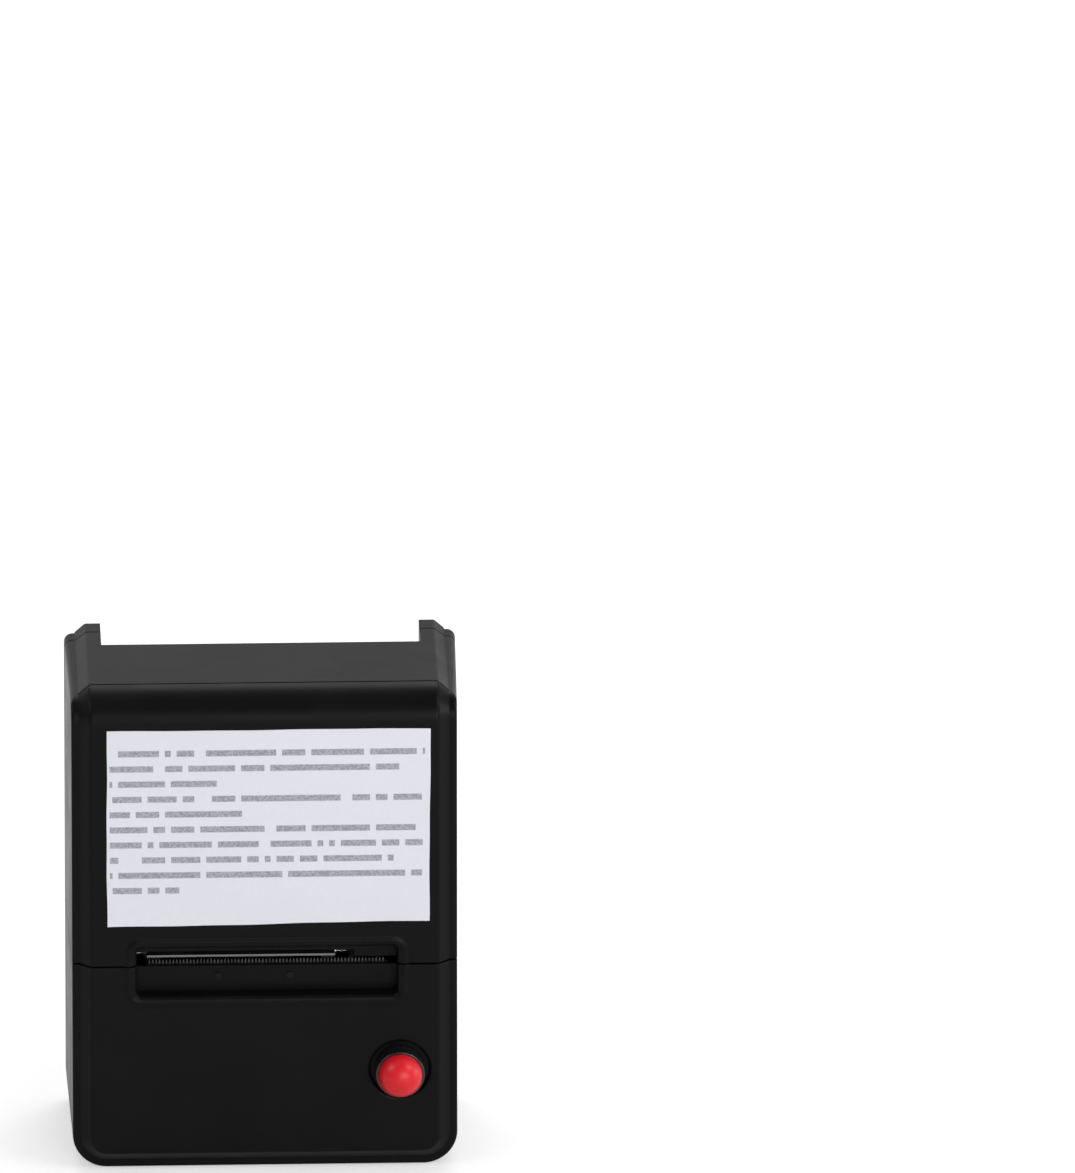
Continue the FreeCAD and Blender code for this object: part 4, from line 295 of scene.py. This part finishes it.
def toothed_steel():
    """Spring steel, black oxidised, then ground along the tear edge: dark all over, with a paler
    ground flank on each 1 mm tooth that fades down the bar."""
    made, tree, skin, coords = bare("Spring_steel_black_oxide_ground", Metallic=0.85)
    lo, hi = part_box("tear_bar")
    axes = put(tree, "ShaderNodeSeparateXYZ", {0: coords}).outputs
    place = put(tree, "ShaderNodeMath", {0: axes["X"], 1: lo.x}, operation="SUBTRACT")
    turns = put(tree, "ShaderNodeMath", {0: place.outputs[0],
                                         1: 2 * math.pi / (TOOTH_PITCH * MM)},
                operation="MULTIPLY")
    wave = put(tree, "ShaderNodeMath", {0: turns.outputs[0]}, operation="COSINE")
    flank = put(tree, "ShaderNodeMapRange", {"Value": wave.outputs[0], "From Min": 0.1,
                                             "From Max": -0.9})
    high = put(tree, "ShaderNodeMapRange", {"Value": axes["Z"],
                                            "From Min": hi.z - GROUND_NONE * MM,
                                            "From Max": hi.z - GROUND_FULL * MM})
    drift = put(tree, "ShaderNodeTexNoise", {"Vector": coords, "Scale": cells(4), "Detail": 2.0})
    ground = put(tree, "ShaderNodeMath", {0: flank.outputs[0], 1: high.outputs[0]},
                 operation="MULTIPLY")
    ground = put(tree, "ShaderNodeMath", {0: ground.outputs[0], 1: drift.outputs["Fac"]},
                 operation="MULTIPLY")
    oxide = put(tree, "ShaderNodeMix", {0: drift.outputs["Fac"], 6: linear("0d0d0e"),
                                        7: linear("161718")}, data_type="RGBA")
    colour = put(tree, "ShaderNodeMix", {0: ground.outputs[0], 6: oxide.outputs[2],
                                         7: linear("5c5d60")}, data_type="RGBA")
    gloss = put(tree, "ShaderNodeMapRange", {"Value": drift.outputs["Fac"], "To Min": 0.3,
                                             "To Max": 0.46})
    feed(tree, skin, {"Base Color": colour.outputs[2], "Roughness": gloss.outputs[0]})
    return made


def solder_masked():
    """Green solder mask over etched copper: lighter straight tracks show through a glossy lacquer.
    The pattern's unit is 9.1 mm, so its rows are 1.27 mm apart and its lines 0.16 mm wide."""
    made, tree, skin, coords = bare("Laminate_green_solder_masked", Roughness=0.3)
    upright = put(tree, "ShaderNodeMapping", {"Vector": coords,
                                              "Rotation": (math.radians(90), 0, 0)})
    tracks = put(tree, "ShaderNodeTexBrick", {"Vector": upright.outputs[0], "Scale": cells(9.1),
                                              "Mortar Size": 0.018, "Brick Width": 1.7,
                                              "Row Height": 0.14, "Color1": linear("0d5a2c"),
                                              "Color2": linear("0f6431"),
                                              "Mortar": linear("1d8046")})
    relief = put(tree, "ShaderNodeBump", {"Height": tracks.outputs["Fac"], "Distance": 0.02 * MM})
    feed(tree, skin, {"Base Color": tracks.outputs["Color"], "Normal": relief.outputs[0]})
    return made


def finishes():
    """One finish for each of the record's material slots."""
    return {
        "black_case": moulded_abs(),
        "label_paper": printed_paper(),
        "black_steel": toothed_steel(),
        # rolled stainless sheet, tumbled dull: fine lines along its length
        "steel": mottled("Stainless_sheet_tumbled", "66676a", "7c7d80", 0.5, (0.34, 0.48), 0.006,
                         (0.08, 1, 1), Metallic=1.0),
        # ground rod under a film of oil: bright, with rings left by the wheel
        "bright_steel": mottled("Steel_rod_ground", "8b8c8f", "a6a7aa", 0.4, (0.2, 0.3), 0.003,
                                (1, 0.3, 1), Metallic=1.0),
        # bright zinc plating: silvery with faint blue-yellow clouds
        "zinc_steel": mottled("Steel_zinc_plated", "a3a6aa", "c2c0b6", 0.6, (0.25, 0.38), 0.006,
                              cloud_mm=6.0, Metallic=1.0),
        # milled aluminium: pale, with shallow cutter lines
        "aluminium": mottled("Aluminium_milled", "b3b6bb", "cdd0d4", 0.7, (0.3, 0.42), 0.008,
                             (0.1, 1, 1), Metallic=1.0),
        # glazed alumina: warm white and glassy smooth
        "ceramic": mottled("Alumina_glazed", "d3d1c8", "e2e0d8", 2.0, (0.1, 0.2)),
        # ground silicone rubber: dull black, with the grinding's fine rings
        "platen_rubber": mottled("Silicone_rubber_ground", "1f1f20", "2c2c2d", 0.5, (0.6, 0.75),
                                 0.02, (1, 0.2, 0.2)),
        # natural acetal: milky white with a waxy sheen
        "acetal": mottled("Acetal_natural_moulded", "d9d5c8", "e6e3d8", 0.8, (0.35, 0.48), 0.006),
        # inner ABS: the same black, left matt by a coarse mould
        "inner_black": mottled("ABS_black_matt_moulded", "19191b", "252527", 0.45, (0.5, 0.62),
                               0.02),
        "thermal_paper": wound_paper(),
        # spiral-wound card: brown-grey fibre in slanting bands
        "core_board": mottled("Card_grey_wound", "8a7458", "a88f6e", 0.9, (0.8, 0.92), 0.03,
                              (0.25, 1, 1)),
        "board_green": solder_masked(),
        # moulded epoxy: charcoal with a fine pitted face
        "chip_black": mottled("Epoxy_black_moulded", "1b1b1d", "29292b", 0.3, (0.5, 0.62), 0.01),
        # sleeved aluminium cans: satin silver ends
        "can_foil": mottled("Aluminium_can_drawn", "a9abaf", "c3c5c8", 0.5, (0.25, 0.36), 0.004,
                            (1, 0.1, 1), Metallic=1.0),
        # moulded nylon: off-white, slightly waxy
        "header_white": mottled("Nylon_white_moulded", "d8d4c6", "e4e1d5", 0.6, (0.4, 0.52),
                                0.006),
        # moulded PBT: plain matt black
        "port_black": mottled("PBT_black_moulded", "141415", "202021", 0.35, (0.42, 0.55), 0.01),
        # pressed steel, nickel-plated: bright, with drawn lines
        "port_steel": mottled("Steel_nickel_plated", "a8a9ab", "c6c7c9", 0.5, (0.18, 0.3), 0.004,
                              (1, 1, 0.1), Metallic=1.0),
        "button_red": glossy_red(),
        # turned and polished black nylon: smoother and glossier than the case
        "button_black": mottled("Nylon_black_polished", "0f0f10", "19191b", 0.6, (0.2, 0.3), 0.004),
        # polyimide film: glossy, with the copper's faint lines along it; its amber is darkened to a
        # deep amber-brown as painted shade, for the shade it lies in inside the mechanism
        "ribbon_film": mottled("Polyimide_amber_film_painted_shade", "5e3f17", "70501f", 1.25, (0.25, 0.35),
                               0.01, (1, 0.02, 0.02)),
        # soft PVC sheath: dull red
        "lead_sheath": mottled("PVC_red_sheathed", "8e1a18", "a8221e", 1.0, (0.42, 0.55), 0.01),
        # moulded rubber, for the feet and the button's seal: dark, dusty and dull
        "foot_rubber": mottled("Rubber_black_moulded", "1d1d1e", "2d2d2d", 0.4, (0.7, 0.85), 0.03),
        # turned and stamped brass: yellow metal, lightly tarnished
        "brass": mottled("Brass_turned", "a8894a", "c9ab63", 0.5, (0.22, 0.36), 0.006,
                         (1, 0.2, 0.2), Metallic=1.0),
    }


# ---------------------------------------------------------------- new pieces

LABEL_COLS, LABEL_ROWS = 121, 81        # points of the label's grid
EDGE_INSET, PANEL_GAP = 0.2, 0.01       # mm, from the CAD label's edges, and from its rear face
LOW_CLIMB, RIGHT_LEAN = 1.1, 0.4        # mm, lower edge's rise to the right, right edge's lean
LEVEL_WAVES = ((0.10, 9.1, 1.3), (0.06, 23.0, 0.4))     # height in mm, radians along, start
UPRIGHT_WAVES = ((0.10, 6.7, 2.1), (0.05, 19.0, 0.0))
HIGH_SHARE, RIGHT_SHARE = 0.7, 0.8      # how much of the waves the upper and right edges take


def waves(share, terms):
    """The sum of h sin(b share + c) over the terms (h, b, c)."""
    return sum(height * np.sin(along * share + start) for height, along, start in terms)


def label_sheet(material):
    """The label as paper cut by hand: a grid of two shares u and v, with x between a left and a
    right edge by u, and z between a lower and an upper edge by v. Each edge is the CAD label's,
    moved in and wandering by slow waves; the lower one also climbs as u grows, and the right one
    leans in as v falls. A rear grid and a rim close it."""
    lo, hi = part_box("label")
    x0, x1, z0, z1 = (v / MM for v in (lo.x, hi.x, lo.z, hi.z))
    front, back = lo.y / MM, hi.y / MM
    u, v = np.meshgrid(np.linspace(0, 1, LABEL_COLS), np.linspace(0, 1, LABEL_ROWS))
    wander, drift = waves(u, LEVEL_WAVES), waves(v, UPRIGHT_WAVES)
    left = x0 + EDGE_INSET + drift
    right = x1 - EDGE_INSET - RIGHT_LEAN * (1 - v) + drift * RIGHT_SHARE
    low = z0 + EDGE_INSET + LOW_CLIMB * u + wander
    high = z1 - EDGE_INSET + HIGH_SHARE * wander
    x = left + (right - left) * u
    z = low + (high - low) * v
    points, quads = woven(np.stack([x, np.full_like(x, front), z], axis=-1))
    behind, rear_quads = woven(np.stack([x, np.full_like(x, back - PANEL_GAP), z], axis=-1))
    count = len(points)
    ids = np.arange(count).reshape(x.shape)
    rim = np.concatenate([ids[0, :], ids[1:, -1], ids[-1, -2::-1], ids[-2:0:-1, 0]])
    ahead = np.roll(rim, -1)
    sides = np.stack([rim, rim + count, ahead + count, ahead], axis=-1)
    faces = np.concatenate([quads[:, ::-1], rear_quads + count, sides])
    made = piece("label_sheet", np.concatenate([points, behind]), faces.tolist(), material, "lid",
                 smooth=False)
    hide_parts("label")
    return made


def turned(profile, steps, x, z):
    """Points and faces of a solid turned about an axis along Y. profile is a run of (radius, depth)
    points whose two ends lie on the axis: each end is one point, fanned out to the ring beside it."""
    angle = np.linspace(0, 2 * np.pi, steps, endpoint=False)
    radius, depth = profile[1:-1, :1], profile[1:-1, 1:]
    rings = np.stack([x + radius * np.cos(angle), depth + 0 * angle, z + radius * np.sin(angle)],
                     axis=-1)
    points, quads = woven(rings, closed=True)
    count = len(points)
    here = np.arange(steps)
    ahead = np.roll(here, -1)
    last = count - steps
    first_fan = np.stack([np.full(steps, count), ahead, here], axis=-1)
    last_fan = np.stack([np.full(steps, count + 1), here + last, ahead + last], axis=-1)
    ends = [(x, profile[0, 1], z), (x, profile[-1, 1], z)]
    faces = quads[:, ::-1].tolist() + first_fan.tolist() + last_fan.tolist()
    return np.concatenate([points, ends]), faces


CAP_SIDE, CAP_EDGE = 1.7, 0.15          # mm, straight side of the cap, bevel of its rear edge
CAP_RINGS, CAP_STEPS = 49, 128          # along the dome, and round it


def cap_dome(material):
    """The push-button's cap as a smooth turned solid: a flat back, a short straight side, then a
    quarter ellipse r = R cos t, depth = side + D sin t, t from 0 to 90 degrees."""
    lo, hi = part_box("button_cap")
    radius = (hi.x - lo.x) / 2 / MM
    back, front = hi.y / MM, lo.y / MM
    land = back - CAP_SIDE
    t = np.linspace(0, np.pi / 2, CAP_RINGS)
    dome = np.stack([radius * np.cos(t), land - (land - front) * np.sin(t)], axis=-1)
    rear = [(0, back), (radius - CAP_EDGE, back), (radius, back - CAP_EDGE)]
    profile = np.concatenate([rear, dome])
    points, faces = turned(profile, CAP_STEPS, (lo.x + hi.x) / 2 / MM, (lo.z + hi.z) / 2 / MM)
    made = piece("cap_dome", points, faces, material, "button")
    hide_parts("button_cap")
    return made


BEAD_RISE = 0.4                         # mm, a low bead moulded round the recess
BEAD_IN, BEAD_OUT = 0.75, 3.4           # its edges, out from the recess's walls
BEAD_BACK = 0.25                        # how far it goes into the panel
MOUTH_R, CORNER_R = 1.4, 1.3            # rounding of the recess's mouth, and of its corners
ROOM_SIDE, ROOM_END = 0.6, 0.3          # from the stated opening to the recess's walls
SIDE_STEPS, CORNER_STEPS, WALL_STEPS = 12, 10, 60     # points along the bead's path
BEAD_STEPS = 25                         # points across it


def recess_walls():
    """Left, right, lower and upper wall of the ticket recess, in millimetres."""
    stated = {entry["name"]: entry["box_m"] for entry in frame["record"]["physics"]["openings"]}
    (x0, _, z0), (x1, _, z1) = stated["ticket_recess"]
    return (x0 / MM - ROOM_SIDE, x1 / MM + ROOM_SIDE, z0 / MM - ROOM_END, z1 / MM + ROOM_END)


def recess_bead(name, seam_z, end_z, fade, body, material):
    """Half of the bead, from the seam round to the recess's upper or lower wall and back. Its path
    is the recess's outline with quarter circles at the corners, and a point lies out from it by s.
    Its front is the panel, sunk by the mouth's circle R - sqrt(R^2 - (R - s)^2) where s < R, and
    raised by rise * sin^2(pi (s - in) / (out - in)); its back is the same, a little deeper. fade is
    the share of the rise that is left on the end wall."""
    x0, x1 = recess_walls()[:2]
    panel_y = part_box("label")[1].y / MM
    way = 1 if end_z > seam_z else -1
    side_z = np.linspace(seam_z, end_z - way * CORNER_R, SIDE_STEPS)
    wall_x = np.linspace(x1 - CORNER_R, x0 + CORNER_R, WALL_STEPS)
    quarter = np.linspace(0, np.pi / 2, CORNER_STEPS + 2)[1:-1]
    turn = SIDE_STEPS + CORNER_STEPS
    here_x = np.concatenate([np.full(turn, wall_x[0]), wall_x, np.full(turn, wall_x[-1])])
    here_z = np.concatenate([side_z, np.full(WALL_STEPS + 2 * CORNER_STEPS, side_z[-1]),
                             side_z[::-1]])
    angle = np.concatenate([np.zeros(SIDE_STEPS), quarter, np.full(WALL_STEPS, np.pi / 2),
                            np.pi / 2 + quarter, np.full(SIDE_STEPS, np.pi)])
    rise = BEAD_RISE * (1 - (1 - fade) * np.sin(angle) ** 2)
    across = np.linspace(BEAD_IN, BEAD_OUT, BEAD_STEPS)
    sunk = MOUTH_R - np.sqrt(MOUTH_R ** 2 - np.maximum(MOUTH_R - across, 0) ** 2)
    hump = np.sin(np.pi * (across - BEAD_IN) / (BEAD_OUT - BEAD_IN)) ** 2
    out = CORNER_R + np.concatenate([across, across[::-1]])
    front = panel_y + sunk - rise[:, None] * hump
    deep = np.broadcast_to(panel_y + sunk + BEAD_BACK, front.shape)
    y = np.concatenate([front, deep[:, ::-1]], axis=1)
    x = here_x[:, None] + np.cos(angle)[:, None] * out
    z = here_z[:, None] + way * np.sin(angle)[:, None] * out
    points, quads = woven(np.stack([x, y, z], axis=-1), closed=True)
    loop = np.arange(len(out))
    faces = quads.tolist() + [loop.tolist(), (loop[::-1] + len(points) - len(out)).tolist()]
    faces = [face[::-way] for face in faces]
    return piece(name, points, faces, material, body)


SPRING_WIRE_R, SPRING_TURNS = 0.25, 4   # mm, wire of each spring, and its turns
TURN_STEPS, WIRE_SIDES = 24, 10         # points along one turn, and round the wire


def springs(name, node, count, material):
    """The compression springs of a node, in a row along X. Each is a round wire carried along the
    helix x = R cos a, z = R sin a, with y even in a and a flat cap at either end."""
    lo, hi = (np.array(corner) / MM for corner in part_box(node))
    outer, length = (hi[2] - lo[2]) / 2, hi[1] - lo[1]
    turn = np.linspace(0, 2 * np.pi * SPRING_TURNS, TURN_STEPS * SPRING_TURNS + 1)[:, None]
    side = np.linspace(0, 2 * np.pi, WIRE_SIDES, endpoint=False)
    far = outer - SPRING_WIRE_R + SPRING_WIRE_R * np.cos(side)
    run = (length - 2 * SPRING_WIRE_R) * turn / turn[-1]
    y = lo[1] + SPRING_WIRE_R + run + SPRING_WIRE_R * np.sin(side)
    z = (lo[2] + hi[2]) / 2 + far * np.sin(turn)
    loop = np.arange(len(side))
    points, faces = [], []
    for i, x in enumerate(np.linspace(lo[0] + outer, hi[0] - outer, count)):
        coil, quads = woven(np.stack([x + far * np.cos(turn), y, z], axis=-1), closed=True)
        start = i * len(coil)
        points.append(coil)
        faces += (quads[:, ::-1] + start).tolist()
        faces += [(loop[::-1] + start).tolist(), (loop + start + len(coil) - len(loop)).tolist()]
    made = piece(name, np.concatenate(points), faces, material, "case")
    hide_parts(node)
    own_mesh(made)
    return made


# ---------------------------------------------------------------- stage, light and camera

FLOOR_HALF = 3.0                        # m
FLOOR_GLOW = 0.42                       # what lifts the floor to white as a background
DIM, WHITE = 0.3, 1.0                   # the studio's strength ahead of the object, and behind it
LAMPS = (                               # name, place, aim and size in m, and watts
    ("key_right", (1.4, -0.7, 1.45), (0, 0, 0.08), (0.9, 0.9), 13.0),
    ("front", (0.75, -2.1, 0.5), (0, 0, 0.12), (1.3, 0.75), 24.0),
    ("fill_left", (-1.35, -0.7, 1.4), (0, 0, 0.08), (0.8, 0.8), 8.0),
    ("low_right", (1.8, -0.1, 0.3), (0, 0, 0.08), (0.9, 0.5), 8.0),
    ("back_top", (0.1, 0.9, 1.4), (0, 0, 0.12), (1.4, 0.7), 12.0),
)
AZIMUTH, RISE, FAR = -1.8, 21.6, 12.0   # degrees round from the front, degrees up, and m away
LENS, FILM = 1268.0, 36.0               # mm
CLIP_NEAR, CLIP_FAR = 1.0, 30.0         # m
PANEL_MIDDLE = (0, -30.5, 85.5)         # mm, the point that the view is placed by
VIEW_RIGHT, VIEW_UP = 79.2, 90.2        # mm, from there to the middle of the frame


def pale_floor():
    """A flat pale floor that takes the object's shadow. A glow that only the camera, mirrors and
    clear things see lifts it to the white of a background, and puts no more light on the object."""
    made, tree, skin, coords = bare("Studio_paper_pale", Roughness=0.9, Specular_IOR_Level=0.05)
    tone = put(tree, "ShaderNodeTexNoise", {"Vector": coords, "Scale": 3.0})
    pale = put(tree, "ShaderNodeMix", {0: tone.outputs["Fac"], 6: linear("c4c4c6"),
                                       7: linear("c8c8c9")}, data_type="RGBA")
    rays = put(tree, "ShaderNodeLightPath").outputs
    seen = put(tree, "ShaderNodeMath", {0: rays["Is Camera Ray"], 1: rays["Is Glossy Ray"]},
               operation="ADD")
    seen = put(tree, "ShaderNodeMath", {0: seen.outputs[0], 1: rays["Is Transmission Ray"]},
               operation="ADD", use_clamp=True)
    glow = put(tree, "ShaderNodeMath", {0: seen.outputs[0], 1: FLOOR_GLOW}, operation="MULTIPLY")
    feed(tree, skin, {"Base Color": pale.outputs[2], "Emission Strength": glow.outputs[0],
                      "Emission Color": linear("ffffff")})
    mesh = bpy.data.meshes.new("studio_floor")
    half = FLOOR_HALF
    mesh.from_pydata([(-half, -half, 0), (half, -half, 0), (half, half, 0), (-half, half, 0)], [],
                     [(0, 1, 2, 3)])
    mesh.materials.append(made)
    floor = bpy.data.objects.new("studio_floor", mesh)
    bpy.context.scene.collection.objects.link(floor)


def soft_world():
    """A studio that is white behind the object and dim in front of it."""
    world = bpy.data.worlds.new("studio")
    bpy.context.scene.world = world
    world.use_nodes = True
    tree = world.node_tree
    tree.nodes.clear()
    ways = put(tree, "ShaderNodeTexCoord").outputs["Generated"]
    axes = put(tree, "ShaderNodeSeparateXYZ", {0: ways}).outputs
    behind = put(tree, "ShaderNodeMapRange", {"Value": axes["Y"], "From Min": -0.25,
                                              "From Max": 0.6, "To Min": DIM,
                                              "To Max": WHITE})
    light = put(tree, "ShaderNodeBackground", {"Color": linear("ffffff"),
                                               "Strength": behind.outputs[0]})
    put(tree, "ShaderNodeOutputWorld", {"Surface": light.outputs[0]})


def softbox(name, place, aim, size, watts):
    """A rectangular lamp of that size, in metres, at a place and turned to a point."""
    lamp = bpy.data.lights.new(name, "AREA")
    lamp.shape = "RECTANGLE"
    lamp.size, lamp.size_y = size
    lamp.energy = watts
    held = bpy.data.objects.new(name, lamp)
    bpy.context.scene.collection.objects.link(held)
    held.location = place
    held.rotation_euler = (Vector(aim) - Vector(place)).to_track_quat("-Z", "Y").to_euler()


def camera():
    """A long lens far off, above the horizon and a little to the left. The panel's middle sits
    left of and below the middle of the frame."""
    azimuth, rise = math.radians(AZIMUTH), math.radians(RISE)
    back = Vector((math.sin(azimuth) * math.cos(rise), -math.cos(azimuth) * math.cos(rise),
                   math.sin(rise)))
    right = Vector((math.cos(azimuth), math.sin(azimuth), 0))
    up = back.cross(right)
    aim = Vector(PANEL_MIDDLE) * MM + right * VIEW_RIGHT * MM + up * VIEW_UP * MM
    lens = bpy.data.cameras.new("camera")
    lens.lens, lens.sensor_width = LENS, FILM
    lens.clip_start, lens.clip_end = CLIP_NEAR, CLIP_FAR
    held = bpy.data.objects.new("camera", lens)
    bpy.context.scene.collection.objects.link(held)
    held.location = aim + back * FAR
    held.rotation_euler = (-back).to_track_quat("-Z", "Y").to_euler()
    bpy.context.scene.camera = held


# ---------------------------------------------------------------- putting it together

given = finishes()
for entry in frame["record"]["subparts"]:
    mesh = frame["nodes"][entry["node"]].data
    mesh.materials.clear()
    mesh.materials.append(given[entry["material_slot"]])

label_sheet(given["label_paper"])
cap_dome(given["button_red"])
springs("head_coils", "head_springs", 2, given["bright_steel"])
springs("button_coil", "button_spring", 1, given["bright_steel"])
low_wall, high_wall = recess_walls()[2:]
recess_bead("recess_bead_upper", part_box("lid_shell")[0].z / MM, high_wall, 1.0, "lid",
            given["black_case"])
recess_bead("recess_bead_lower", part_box("lower_shell")[1].z / MM, low_wall, 0.3, "case",
            given["black_case"])

pale_floor()
soft_world()
for name, place, aim, size, watts in LAMPS:
    softbox(name, place, aim, size, watts)
camera()
bpy.context.scene.view_settings.view_transform = "Standard"
